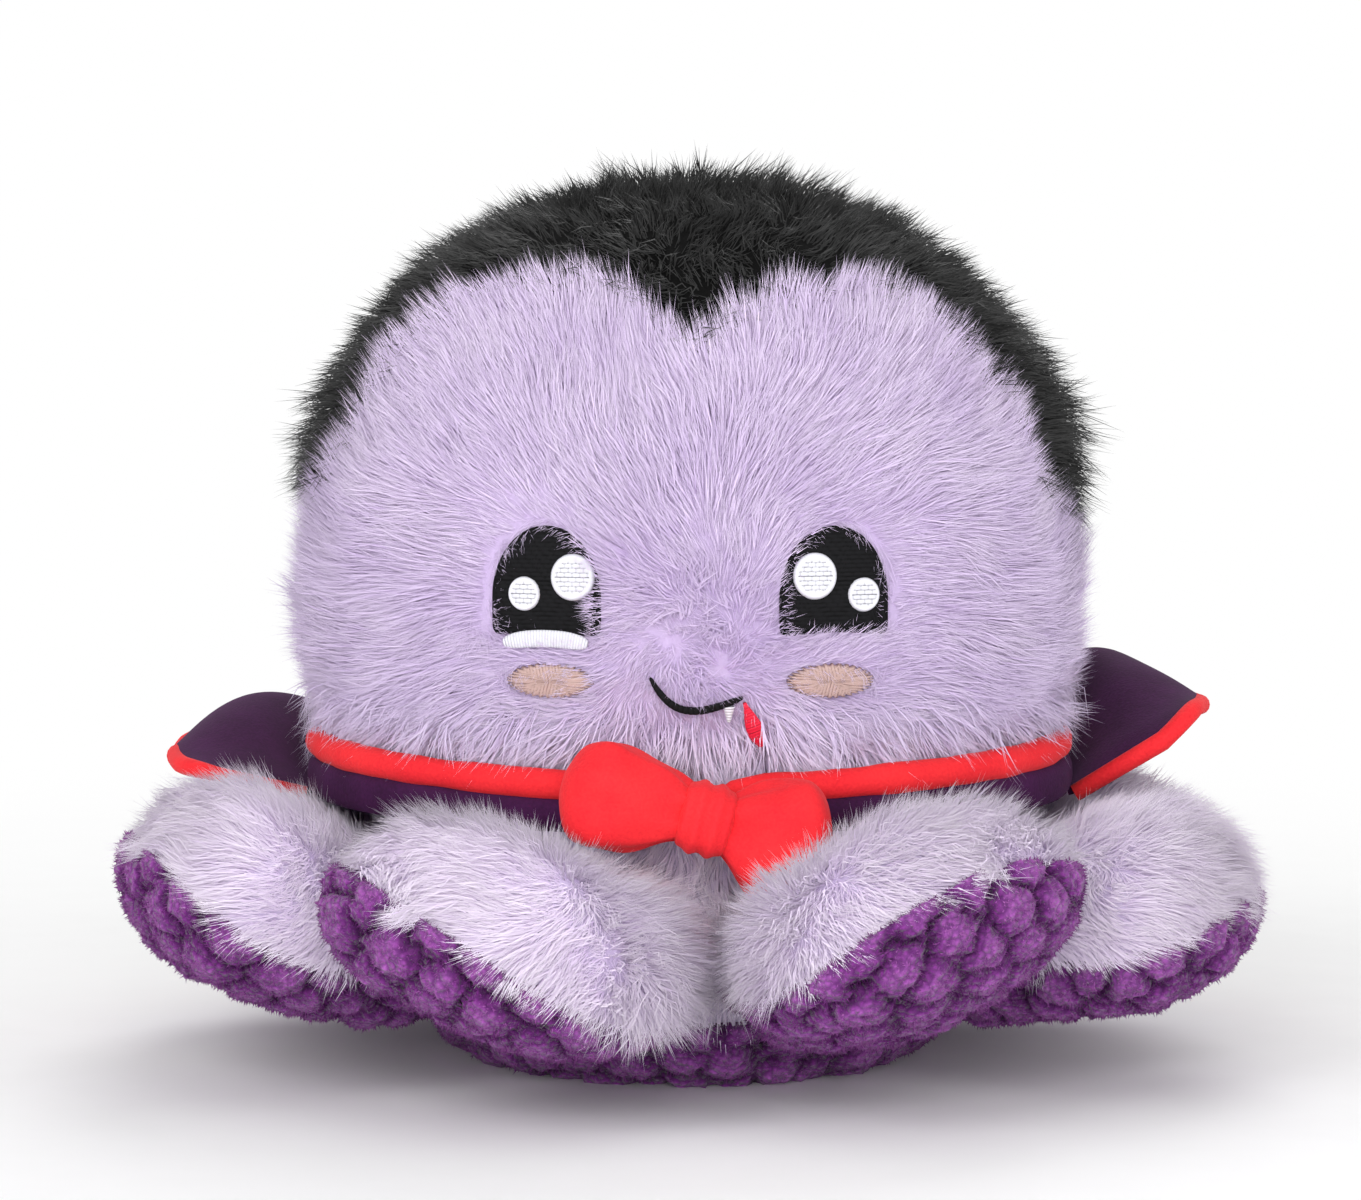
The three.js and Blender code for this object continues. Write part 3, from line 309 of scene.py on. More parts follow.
def colour_ramp(tree, source, *stops):
    """A colour for each value, mixed between the stops, which are places and written colours or light values."""
    ramp = add_node(tree, "ValToRGB", {0: source})
    elements = ramp.color_ramp.elements
    while len(elements) < len(stops):
        elements.new(0.5)
    for element, (place, colour) in zip(elements, stops):
        element.position = place
        element.color = (*(linear(colour) if isinstance(colour, str) else colour), 1)
    return ramp.outputs[0]


def colour_mix(tree, factor, one, two, blend="MIX"):
    """Two colours mixed or multiplied by a factor."""
    return add_node(tree, "Mix", {"Factor": factor, 6: one, 7: two}, data_type="RGBA", blend_type=blend).outputs[2]


def attribute(tree, name):
    """The values that set_values put on a mesh."""
    return add_node(tree, "Attribute", attribute_name=name).outputs["Fac"]


def make_grain_group():
    """Grain: two noises of different sizes on the piece's own coordinates, as a value and as a height."""
    group = bpy.data.node_groups.new("cloth_grain", "ShaderNodeTree")
    for way, names in (("INPUT", ("Coarse Scale", "Fine Scale", "Fine Share")), ("OUTPUT", ("Tone", "Height"))):
        for name in names:
            group.interface.new_socket(name, in_out=way, socket_type="NodeSocketFloat")
    given, out = group.nodes.new("NodeGroupInput").outputs, group.nodes.new("NodeGroupOutput")
    place = add_node(group, "TexCoord").outputs["Object"]
    coarse, fine = (
        add_node(group, "TexNoise", {"Vector": place, "Scale": given[scale], "Detail": detail}).outputs["Fac"]
        for scale, detail in (("Coarse Scale", 4), ("Fine Scale", 3)))
    tone = add_node(group, "Mix", {"Factor": given["Fine Share"], 2: coarse, 3: fine}, data_type="FLOAT")
    feed(group, out, {"Tone": tone.outputs[0], "Height": fine})
    return group


GRAIN = make_grain_group()


def grain_of(tree, coarse, fine, share):
    """The grain's outputs, Tone and Height, at two scales and with a share of the fine one."""
    scales = {"Coarse Scale": coarse, "Fine Scale": fine, "Fine Share": share}
    return add_node(tree, "Group", scales, node_tree=GRAIN).outputs


def bump(tree, height, strength, distance):
    """A normal bent by a height."""
    return add_node(tree, "Bump", {"Strength": strength, "Distance": distance, "Height": height}).outputs[0]


def fur_material(slot, root_dark, root_light, tip_dark, tip_light, roughness, sheen, gloss=0.25):
    """Fur: a strand's shade picks between two colours at the root and two at the tip, mixed along the strand."""
    material, tree, shader = new_material(slot, roughness, gloss, sheen)
    shade = attribute(tree, "strand_shade")
    root = colour_ramp(tree, shade, (0, root_dark), (1, root_light))
    tip = colour_ramp(tree, shade, (0, tip_dark), (1, tip_light))
    feed(tree, shader, {"Base Color": colour_mix(tree, attribute(tree, "strand_along"), root, tip)})
    return material


def cloth_material(name, dark, light, scales, strength, distance, roughness, sheen, sheen_tint=None):
    """Plain cloth: a grain mixes two tones of its colour and raises its surface."""
    material, tree, shader = new_material(name, roughness, 0.2, sheen, 0.4)
    grain = grain_of(tree, *scales)
    feed(tree, shader, {"Base Color": colour_ramp(tree, grain["Tone"], (0.3, dark), (0.7, light)),
                        "Normal": bump(tree, grain["Height"], strength, distance)})
    if sheen_tint:
        shader.inputs["Sheen Tint"].default_value = (*linear(sheen_tint), 1)
    return material


def bobble_material(slot):
    """Chenille bobbles: painted shade in the gaps and painted light on the crowns, by their height, speckled and
    dented by a web of loose fibre.
    """
    material, tree, shader = new_material(slot, 0.95, 0.1, 0.2)
    # The ramp by the crown's height is painted shade in the gaps between bobbles and painted light on their crowns.
    tone = colour_ramp(tree, attribute(tree, "crown"),
                       (0, "#200522"), (0.35, "#501A58"), (0.8, "#7E3688"), (1, "#A058AA"))
    grain = grain_of(tree, 350, 1400, 0.5)["Tone"]
    sway = (0.0012, 0.0012, 0.0012)
    place = add_node(tree, "VectorMath", {0: grain, 1: sway, 2: add_node(tree, "TexCoord").outputs["Object"]},
                     operation="MULTIPLY_ADD")
    crumbs = add_node(tree, "TexVoronoi", {"Scale": 760, "Smoothness": 0.35, "Vector": place.outputs[0]},
                      feature="SMOOTH_F1").outputs["Distance"]
    speckle = colour_ramp(tree, crumbs, (0.15, (1.2, 1.15, 1.18)), (0.7, (0.4, 0.34, 0.44)))
    hollow = add_node(tree, "Math", {0: crumbs, 1: -1.0, 2: grain}, operation="MULTIPLY_ADD").outputs[0]
    feed(tree, shader, {"Base Color": colour_mix(tree, 0.8, tone, speckle, "MULTIPLY"),
                        "Normal": bump(tree, hollow, 0.9, 0.0013)})
    return material


def pile_material(name):
    """Loose fibre of the bobbles: each fibre takes one tone from the bobble that it stands on, so the bobbles'
    painted shade and light carry over to it.
    """
    material, tree, shader = new_material(name, 0.95, 0.1)
    feed(tree, shader, {"Base Color": colour_ramp(
        tree, attribute(tree, "strand_shade"),
        (0, "#200522"), (0.35, "#501A58"), (0.8, "#803C88"), (1, "#A460A8"))})
    return material


def thread_material(slot, dark, light, roughness=0.5, gloss=0.3):
    """Satin stitches: painted shade in the gaps and light on the threads, by the height, with a fine speckle."""
    material, tree, shader = new_material(slot, roughness, gloss)
    tone = colour_ramp(tree, attribute(tree, "thread_lift"), (0, dark), (0.7, light))
    grain = grain_of(tree, 500, 2600, 0.6)
    speckle = colour_ramp(tree, grain["Tone"], (0.3, (0.8, 0.8, 0.8)), (0.7, (1, 1, 1)))
    feed(tree, shader, {"Base Color": colour_mix(tree, 0.6, tone, speckle, "MULTIPLY"),
                        "Normal": bump(tree, grain["Height"], 0.3, 0.0002)})
    return material


def backing_material(colour, dark, light, sheen):
    """The cloth under a fur."""
    return cloth_material(colour + "_backing", dark, light, (80, 700, 0.5), 0.4, 0.0005, 0.95, sheen)


LILAC_FUR = fur_material("lilac_fur", "#BCA2D2", "#D0B9E1", "#D4C1E5", "#ECE0F5", 0.8, 0.1)
PALE_FUR = fur_material("pale_fur", "#DEC4F0", "#ECD9F8", "#F0DFFA", "#FDF5FF", 0.8, 0.1)
# The black fur's grey tip colours are painted highlight on its tufts.
BLACK_FUR = fur_material("black_fur", "#040404", "#0C0C0C", "#101010", "#4A4A4A", 0.5, 0.0, 0.4)
LILAC_BACKING = backing_material("lilac", "#B7A4C8", "#C6B4D6", 0.1)
PALE_BACKING = backing_material("pale", "#CDBCDE", "#DCCEEA", 0.1)
BLACK_BACKING = backing_material("black", "#030303", "#0A0A0A", 0.0)
BOBBLES = bobble_material("bobble_fabric")
BOBBLE_PILE = pile_material("bobble_pile")
PURPLE_VELOUR = cloth_material("purple_velour", "#2A082A", "#421644", (90, 1500, 0.45),
                               0.35, 0.0004, 0.9, 0.07, "#804890")
RED_VELOUR = cloth_material("red_velour", "#D81E2A", "#F43236", (70, 1500, 0.4),
                            0.4, 0.0005, 0.85, 0.2, "#FF8A88")
BLACK_THREAD = thread_material("black_thread", "#020202", "#161618", 0.8, 0.12)
WHITE_THREAD = thread_material("white_thread", "#3C3C44", "#DEDEE6")
PEACH_THREAD = thread_material("peach_thread", "#6A524D", "#BFA29B")
RED_THREAD = thread_material("red_thread", "#7A0A1C", "#E8213F")
FIBRE = cloth_material("fibre_fill", "#E6E3DC", "#F7F5F0", (40, 500, 0.5), 0.6, 0.001, 1.0, 0.2)
SQUEAKER = cloth_material("squeaker_plastic", "#EDEDE8", "#F8F8F4", (30, 300, 0.3),
                          0.05, 0.0001, 0.4, 0.0)


# Fur

SHADE_STEPS = 48
LOWEST_LIFT, STEEPEST_LIFT, LIFT_SPREAD = 0.15, 1.5, 0.1
SHORTEST, LONGEST, TUFT_SPREAD = 0.75, 1.12, 0.22
TONE_SPREAD = 0.14
FLOOR_CLEARANCE = 1.8
# A spike's kind by its number of points: strands to a piece, place along the strand and aside of each point, faces
SPIKES = {
    7: (19000, (0, 0, 0, 0.5, 0.5, 0.5, 1), (-1, 1, 0, -1, 1, 0, 0),
        ((0, 1, 4, 3), (1, 2, 5, 4), (2, 0, 3, 5)), ((3, 4, 6), (4, 5, 6), (5, 3, 6), (0, 2, 1))),
    4: (48000, (0, 0, 0, 1), (-1, 1, 0, 0), (), ((0, 1, 3), (1, 2, 3), (2, 0, 3), (0, 2, 1))),
}


def strand_pieces(name, points, tone, normals, material, node):
    """Closed spikes as pieces of so many strands, each strand with its own tone and a normal.

    In the map for baking a strand's points lie in a narrow column of its tone, the tip at the top.
    """
    count, each = points.shape[:2]
    limit, along, aside, fours, threes = SPIKES[each]
    along, aside = np.array(along, float), np.array(aside)
    blocks = max(1, math.ceil(count / limit))
    order = np.argsort(points[:, 0, 0], kind="stable") if blocks > 1 else np.arange(count)
    tone = (np.floor(np.clip(tone, 0, 1) * (SHADE_STEPS - 1e-6)) + 0.5) / SHADE_STEPS
    for block, chosen in enumerate(np.array_split(order, blocks)):
        base = (np.arange(len(chosen)) * each)[:, None]
        mesh = make_mesh(name if blocks == 1 else f"{name}_{block + 1}", points[chosen].reshape(-1, 3),
                         [base + np.array(face) for face in fours], [base + np.array(face) for face in threes])
        set_values(mesh, "strand_shade", np.repeat(tone[chosen], each))
        set_values(mesh, "strand_along", np.tile(along, len(chosen)))
        corner = np.zeros(len(mesh.loops), np.int32)
        mesh.loops.foreach_get("vertex_index", corner)
        strand, which = np.divmod(corner, each)
        places = vector(tone[chosen][strand] + 0.3 / SHADE_STEPS * aside[which], 0.02 + 0.96 * along[which])
        mesh.uv_layers.new(name="OFBake").data.foreach_set("uv", places.astype(np.float32).ravel())
        mesh.normals_split_custom_set_from_vertices(np.repeat(normals[chosen], each, 0))
        add_piece(mesh, material, node)


def fur(name, node, material, roots, normals, flow, length, width, lift, tufts, salt, shade=0.0, sunk=0.7, bow=0.3,
        ruffle=0.16, bent=True, lean=0.0, toward=0.0, mottle=0.2):
    """Strands as thin closed spikes of three sides, bent or straight.

    Their normals are the cloth's, leaned along the strand or towards a given way, as soft fibre catches light.
    A strand rises from its root by a lift angle over the flow, a bent one more before its middle and less after
    it, and it is drawn towards the nearest tuft's centre in each size of tuft, the tip most.
    """
    count = len(roots)
    dice = np.random.default_rng(salt)
    way = turned(flow, normals, ruffle * waves(roots, 9.0, salt + 1) + dice.normal(0, ruffle, count))
    lift = lift + dice.normal(0, LIFT_SPREAD, count)
    far = np.zeros(count)
    pull = np.zeros((count, 3))
    for order, (size, strength) in enumerate(tufts):
        centre, chance = nearest_tuft(roots, size, salt % 7 + 11 * order)
        pull += strength * flat_on(centre - roots, normals)
        far += (chance[:, 0] - 0.5) * TUFT_SPREAD
        lift = lift + (chance[:, 1] - 0.5) * TUFT_SPREAD
        if order == 0:
            tuft_tone = chance[:, 2]
    long = length * (1 + far) * dice.uniform(SHORTEST, LONGEST, count)
    lift = np.clip(lift, LOWEST_LIFT, STEEPEST_LIFT)

    def step(angle):
        return np.cos(angle)[:, None] * way + np.sin(angle)[:, None] * normals

    start = roots - sunk * normals
    if bent:
        middle = start + (0.5 * long)[:, None] * step(np.minimum(lift + bow, STEEPEST_LIFT)) + 0.35 * pull
        tip = middle + (0.5 * long)[:, None] * step(lift - bow) + 0.6 * pull
    else:
        tip = start + long[:, None] * step(lift) + 0.95 * pull
    ahead = unit(tip - start)
    side = unit(np.cross(normals, ahead))
    rise = np.cross(ahead, side)
    wide = (width * dice.uniform(0.8, 1.2, count) / 2)[:, None]
    low = np.stack([wide * side, -0.5 * wide * side + 0.6 * wide * rise, -wide * side * 0.6 - 0.6 * wide * rise], 1)
    rings = [start[:, None] + low] + ([middle[:, None] + 0.85 * low] if bent else []) + [tip[:, None]]
    tone = 0.5 + shade + mottle * (tuft_tone - 0.5) + dice.normal(0, TONE_SPREAD, count)
    lit = unit(normals + 0.25 * rise + lean * ahead + toward)
    strand_pieces(name, np.concatenate(rings, 1), tone, lit, material, node)


def by_area(area, chance):
    """The number of the cell that each chance from 0 to 1 falls on, by the cells' areas."""
    return np.minimum(np.searchsorted(np.cumsum(area) / area.sum(), chance), len(area) - 1)


def bobble_pile(name, node, points, quads, crown, density, salt):
    """Short loose fibres that stand off the bobbles in all directions, scattered over the faces by area."""
    corners = points[quads]
    cross = np.cross(corners[:, 2] - corners[:, 0], corners[:, 3] - corners[:, 1])
    area = np.linalg.norm(cross, axis=1)
    count = int(area.sum() / 2 * density)
    dice = np.random.default_rng(salt)
    picked = by_area(area, dice.random(count))
    a, b = dice.random((2, count, 1))
    c = corners[picked]
    places = (c[:, 0] * (1 - a) + c[:, 1] * a) * (1 - b) + (c[:, 3] * (1 - a) + c[:, 2] * a) * b
    clear = places[:, 2] > FLOOR_CLEARANCE
    places, normals, picked = places[clear], unit(cross[picked])[clear], picked[clear]
    count = len(places)
    dice = np.random.default_rng(salt + 1)
    way = unit(normals + 0.75 * dice.normal(size=(count, 3)))
    way = unit(way + 0.3 * normals)
    side = unit(np.cross(way, normals + 0.01))
    rise = np.cross(way, side)
    wide = dice.uniform(0.16, 0.26, count)[:, None]
    start = places - 0.3 * normals
    tip = places + way * dice.uniform(0.7, 1.35, count)[:, None]
    spikes = np.stack([start + wide * side, start - 0.5 * wide * side + 0.8 * wide * rise,
                       start - 0.5 * wide * side - 0.8 * wide * rise, tip], 1)
    # A fibre's tone follows the crown under it, so fibres in the gaps carry painted shade.
    tone = crown[quads[picked]].mean(1) * 0.9 + 0.1 + dice.normal(0, 0.09, count)
    strand_pieces(name, spikes, tone, unit(normals + 0.3 * way), BOBBLE_PILE, node)


def cell_areas(grid):
    """The area of each cell of a grid of points, as its first corner's two edges span it."""
    return np.linalg.norm(np.cross(grid[1:, :-1] - grid[:-1, :-1], grid[:-1, 1:] - grid[:-1, :-1]), axis=-1)


def scatter(surface, u_range, v_range, cells, density, salt, keep=None):
    """Random places on a surface, as many to each square millimetre everywhere, where keep says so.

    The surface is cut into small cells, a cell is drawn by its area, and a place in it at random.
    """
    dice = np.random.default_rng(salt)
    u, v = np.linspace(*u_range, cells[0] + 1), np.linspace(*v_range, cells[1] + 1)
    area = cell_areas(on_grid(surface, u, v)).ravel()
    count = int(area.sum() * density)
    row, column = np.divmod(by_area(area, dice.random(count)), cells[1])
    su = u[row] + dice.random(count) * (u[1] - u[0])
    sv = v[column] + dice.random(count) * (v[1] - v[0])
    places = surface(su, sv)
    if keep is not None:
        wanted = keep(places)
        su, sv, places = su[wanted], sv[wanted], places[wanted]
    return su, sv, places


# Head

def head_profile(height, grow):
    """Fullness at a height: (1 - share of the reach ^ power) ^ (1 / power), one power above and one below."""
    above = height > HEAD_WIDEST
    reach = np.where(above, CROWN_RISE, HEAD_DROP) + grow
    power = np.where(above, CROWN_POWER, JAW_POWER)
    share = np.clip(np.abs(height - HEAD_WIDEST) / reach, 0, 1)
    return np.maximum(1 - share ** power, 0) ** (1 / power)


def head_surface(grow=0.0):
    """A function of an angle round the head and a share from the neck, 0, past the widest ring to the crown, 1.

    Up to the widest ring the height follows the share, and above it the share's sine to the power 2 over 2.25.
    """
    def surface(turn, share):
        low = np.clip(share / WIDEST_SHARE, 0, 1)
        high = np.clip((share - WIDEST_SHARE) / (1 - WIDEST_SHARE), 0, 1)
        crown = (CROWN_RISE + grow) * np.sin(high * np.pi / 2) ** (2 / CROWN_POWER)
        height = HEAD_FLOOR + low * (HEAD_WIDEST - HEAD_FLOOR) + crown
        full = head_profile(height, grow)
        x, y = super_point(turn, PLAN_POWER)
        return vector(x * (HEAD_HALF_WIDTH + grow) * full, y * (HEAD_HALF_DEPTH + grow) * full, height)
    return surface


def head_normal(p):
    """The gradient of (|x/a|^n + |y/b|^n)^(q/n) + |h/reach|^q, whose value is 1 on the head."""
    above = p[:, 2] > HEAD_WIDEST
    q = np.where(above, CROWN_POWER, JAW_POWER)
    reach = np.where(above, CROWN_RISE, HEAD_DROP)
    x, y = np.abs(p[:, 0]) / HEAD_HALF_WIDTH, np.abs(p[:, 1]) / HEAD_HALF_DEPTH
    h = np.abs(p[:, 2] - HEAD_WIDEST) / reach
    n = PLAN_POWER
    common = np.maximum(x ** n + y ** n, 1e-9) ** (q / n - 1)
    gx = common * x ** (n - 1) / HEAD_HALF_WIDTH * np.sign(p[:, 0])
    gy = common * y ** (n - 1) / HEAD_HALF_DEPTH * np.sign(p[:, 1])
    gz = h ** (q - 1) / reach * np.sign(p[:, 2] - HEAD_WIDEST)
    return unit(vector(gx, gy, gz))


def head_front(x, z, out):
    """The point of the head's front over a place in the front view, moved out along the head's normal."""
    full = np.maximum(head_profile(z, 0), 1e-6)
    inside = np.clip(1 - (np.abs(x) / (HEAD_HALF_WIDTH * full)) ** PLAN_POWER, 0, 1)
    p = vector(x, -HEAD_HALF_DEPTH * full * inside ** (1 / PLAN_POWER), z)
    return p + out[..., None] * head_normal(p.reshape(-1, 3)).reshape(p.shape)


def hairline_height(x):
    """The hairline's points joined by straight lines in the front view."""
    tall = HEAD_CROWN - HEAD_FLOOR
    return HEAD_FLOOR + tall * np.interp(x / HEAD_HALF_WIDTH, HAIRLINE[:, 0], HAIRLINE[:, 1])


def side_seam(z):
    """How far back the panel ends at a height: the seam's points joined by straight lines."""
    share = (z - HEAD_FLOOR) / (HEAD_CROWN - HEAD_FLOOR)
    return HEAD_HALF_DEPTH * np.interp(share, SIDE_SEAM[:, 1], SIDE_SEAM[:, 0])


def in_face(p, margin=0.0):
    """Where the lilac panel is: under the hairline in the front view and ahead of the side seam."""
    return (p[:, 2] < hairline_height(p[:, 0]) + margin) & (p[:, 1] < side_seam(p[:, 2]) + margin)


# Embroidery places in the front view
EYE_X, EYE_Z, EYE_HALF_WIDTH, EYE_HALF_HEIGHT = 30.25, HEAD_FLOOR + 43.2, 11.5, 11.6
CHEEK_X, CHEEK_Z, CHEEK_HALF_WIDTH, CHEEK_HALF_HEIGHT = 29.5, HEAD_FLOOR + 22.2, 8.8, 3.6
EYE_FOOT = EYE_Z - EYE_HALF_HEIGHT
EYE_DOME_SHARE = 0.34
MOUTH_X, MOUTH_Z, MOUTH_HALF_WIDTH = 1.3, HEAD_FLOOR + 16.5, 9.6
MOUTH_LEFT_RISE, MOUTH_RIGHT_RISE = 7.1, 2.9
DROP_GAP_X, DROP_GAP_Z, DROP_GAP_RUN, DROP_GAP_FALL = 11.8, 82.5, 2.6, 7.5


def mouth_line(share):
    """The mouth's line: to the left it rises by the share to the power 2.6, and to the right less, by 1.5."""
    rise = np.where(share < 0, MOUTH_LEFT_RISE * np.abs(share) ** 2.6, MOUTH_RIGHT_RISE * np.abs(share) ** 1.5)
    return MOUTH_X + share * MOUTH_HALF_WIDTH, MOUTH_Z + rise


def eye_gap(x, z):
    """How far a place, given from the middle of the eye's foot, is from the eye's edge, below zero inside."""
    tall = 2 * EYE_HALF_HEIGHT
    low = EYE_DOME_SHARE * tall
    up = np.maximum(z - low, 0) / (tall - low)
    rounded = (np.sqrt((x / EYE_HALF_WIDTH) ** 2 + up ** 2) - 1) * EYE_HALF_WIDTH
    return np.maximum(rounded, -z)


def ellipse_gap(x, z, half_width, half_height):
    """About how far a place is from an ellipse round the origin, below zero inside."""
    return (np.sqrt((x / half_width) ** 2 + (z / half_height) ** 2) - 1) * half_height


def stitched_gap(p):
    """The distance from the nearest embroidered patch in the front view, below zero inside one."""
    x, z = p[:, 0], p[:, 2]
    gaps = [ellipse_gap(x + EYE_X - 0.6, z - EYE_FOOT + 0.8, 8.4, 1.3)]
    for side, shown, shift in ((-1, CHEEK_HALF_WIDTH - 2.4, 1.5), (1, CHEEK_HALF_WIDTH - 1, 0)):
        gaps.append(eye_gap(x - side * EYE_X, z - EYE_FOOT))
        gaps.append(ellipse_gap(x - side * CHEEK_X + shift, z - CHEEK_Z, shown, CHEEK_HALF_HEIGHT))
    mx, mz = mouth_line(np.clip((x - MOUTH_X) / MOUTH_HALF_WIDTH, -1, 1))
    gaps.append(np.hypot(x - mx, z - mz) - 0.7)
    down = np.clip((DROP_GAP_Z - z) / DROP_GAP_FALL, 0, 1)
    gaps.append(np.hypot(x - (DROP_GAP_X + DROP_GAP_RUN * down), z - (DROP_GAP_Z - DROP_GAP_FALL * down)) - 1.3)
    return np.min(gaps, 0)


# The head's fur and the cloth under it

FUR_DEPTH, HEAD_SKIN = 4.0, 3.4
FACE_PILE, RIM_PILE, CAP_PILE = 12.0, 6.4, 8.6
# Each size of tuft and how strongly it draws its strands together
FACE_TUFTS, RIM_TUFTS, CAP_TUFTS = [(2.2, 0.32), (6.5, 0.16)], [(2.0, 0.2)], [(3.0, 0.5), (6.5, 0.42)]
NOSE_X, NOSE_Z, NOSE_REACH = 2.0, 93.0, 17
# Places of the face in the front view: each a middle, or a range over which something fades
TEMPLE_X, TEMPLE_Z, TEMPLE_HALF_HEIGHT = (58, 74), 138, 16
MUZZLE_X, MUZZLE_Z, CHIN_X, CHIN_Z = 2, 95, 4, 74
UNDERSIDE_AHEAD, UNDERSIDE_UP = (70, 92), (70, 96)
# The cap's fur: where it runs from, with y taken 0.6 times, where it is fullest and where it is short
CAP_SOURCE_Y, CAP_SOURCE_Z = 12, 190.0
FULL_X, FULL_Z, FULL_HALF_HEIGHT = (56, 74), 142, 17
LOW_Y, LOW_Z = (8, 34), (112, 126)
HEAD_CELLS = (300, 240)
pile_foot = head_surface(-FUR_DEPTH)


def on_head(density, salt, keep):
    """Random places at the foot of the head's pile, and the head's normals there."""
    roots = scatter(pile_foot, (0, 2 * np.pi), (0.02, 1), HEAD_CELLS, density, salt, keep)[2]
    return roots, head_normal(roots)


def from_nose(p):
    """Each place's offset from the nose, turning backward round the sides, and its length in the front view."""
    away = vector(p[:, 0] - NOSE_X, -6.0 + 0.9 * np.maximum(p[:, 1] + 30, 0), p[:, 2] - NOSE_Z)
    return away, np.linalg.norm(away[:, [0, 2]], axis=1)


def face_flow(p, normals):
    """Fur runs outward from the nose: the offset over its own length plus 16, so that slow noise wins close by."""
    away, far = from_nose(p)
    stray = vector(waves(p, 24.0, 61), 0, waves(p, 24.0, 62) + 0.4)
    flow = unit(flat_on(away / (far[:, None] + 16) + (0.28 * bell(far, 0, 22))[:, None] * stray, normals))
    turn = 0.4 * waves(p, 60.0, 3) + 0.2 * waves(p, 24.0, 4) + 1.5 * bell(far, 0, 15) * waves(p, 3.6, 63)
    return unit(turned(flow, normals, turn))


def face_keep(p):
    """Inside the panel and outside every patch."""
    return in_face(p) & (stitched_gap(p) > 0)


def grow_face(kind, bent, density, width):
    """Long pile, shorter at the nose, the patches and the temples, and steeper at the patches and the side seam.

    Low on the face, where the cloth turns down, the tips still look up at the light.
    """
    p, normals = on_head(density, 21, face_keep)
    x, z = p[:, 0], p[:, 2]
    near_patch = stitched_gap(p)
    at_nose = bell(from_nose(p)[1], 0, NOSE_REACH)
    at_temple = bell(z, TEMPLE_Z, TEMPLE_HALF_HEIGHT) * smooth_step(np.abs(x), *TEMPLE_X)
    length = FACE_PILE * (0.58 + 0.42 * smooth_step(near_patch, 0, 9)) * (0.9 + 0.1 * waves(p, 30, 8))
    length = length * (1 - 0.22 * at_nose - 0.3 * at_temple)
    lift = 0.6 + 0.13 * waves(p, 26, 6) + 0.35 * (1 - smooth_step(near_patch, 0, 3)) + 0.4 * at_nose
    lift = lift + 0.2 * (1 - smooth_step(side_seam(z) - p[:, 1], 0, 14))
    shade = 0.14 * waves(p, 24, 9) + 0.002 * (z - 110)
    # Darker round the muzzle: painted shade.
    shade = shade - 0.4 * np.exp(-((x - MUZZLE_X) ** 2 + (z - MUZZLE_Z) ** 2) / 260)
    # Lighter at the chin: painted light on fur that lies in the head's shade.
    shade = shade + 0.6 * np.exp(-(x - CHIN_X) ** 2 / 900 - (z - CHIN_Z) ** 2 / 60)
    glow = vector(0, -0.3 * (1 - smooth_step(z, *UNDERSIDE_AHEAD)), 0.7 * (1 - smooth_step(z, *UNDERSIDE_UP)))
    fur("face_" + kind, "head_face_panel", LILAC_FUR, p, normals, face_flow(p, normals), length, width, lift,
        FACE_TUFTS, 31, shade, bent=bent, toward=glow, mottle=0.3)


def to_patch(p, normals, step=0.3):
    """Towards the nearest patch in the front view: against the slope of the distance from it."""
    over, up = (stitched_gap(p + step * way) - stitched_gap(p - step * way) for way in np.eye(3)[[0, 2]])
    return unit(flat_on(-vector(over, 0, up), normals))


def rim_keep(p):
    """On the panel's front, within 1.4 of a patch's edge."""
    gap = stitched_gap(p)
    return in_face(p) & (gap > 0) & (gap < 1.4) & (p[:, 1] < 0)


def grow_rim():
    """Short pile round the patches that leans in over their edges, lower on each patch's outer side."""
    p, normals = on_head(3.4, 27, rim_keep)
    inward = to_patch(p, normals)
    outer = np.clip(-np.sign(p[:, 0]) * inward[:, 0], 0, 1)
    fur("face_rim", "head_face_panel", LILAC_FUR, p, normals, unit(0.8 * inward + 0.4 * face_flow(p, normals)),
        RIM_PILE + 0.8 * waves(p, 10, 28) + 1.4 * outer, 0.24, 0.98 + 0.12 * waves(p, 8, 29) - 0.36 * outer,
        RIM_TUFTS, 37, -0.05, ruffle=0.4, bent=False)


def grow_cap(kind, bent, density, width):
    """Short tufted pile that runs from the crown outward and down, low at the hairline and full over the ears."""
    p, normals = on_head(density, 22, lambda place: ~in_face(place, 0.6))
    x, y, z = p.T
    flow = unit(flat_on(vector(x, 0.6 * y - CAP_SOURCE_Y, z - CAP_SOURCE_Z), normals))
    flow = unit(turned(flow, normals, 0.7 * waves(p, 40.0, 13) + 0.35 * waves(p, 14.0, 14)))
    from_line = np.where(y < 0, smooth_step(z - hairline_height(x), 0, 7), 1)
    full = bell(z, FULL_Z, FULL_HALF_HEIGHT) * smooth_step(np.abs(x + 6), *FULL_X)
    low = (1 - smooth_step(z, *LOW_Z)) * (1 - smooth_step(y, *LOW_Y))
    length = CAP_PILE * (1 + 0.16 * waves(p, 12, 15) + 0.12 * waves(p, 45, 17))
    length = length * (0.6 + 0.4 * from_line) * (1 + 0.6 * full) * (1 - 0.5 * low)
    fur("cap_" + kind, "head_hair_cap", BLACK_FUR, p, normals, flow, length, width, 1.3 - 0.34 * from_line,
        CAP_TUFTS, 32, 0.14 * waves(p, 20, 16) - 0.06, ruffle=0.28, bent=bent, mottle=0.7)


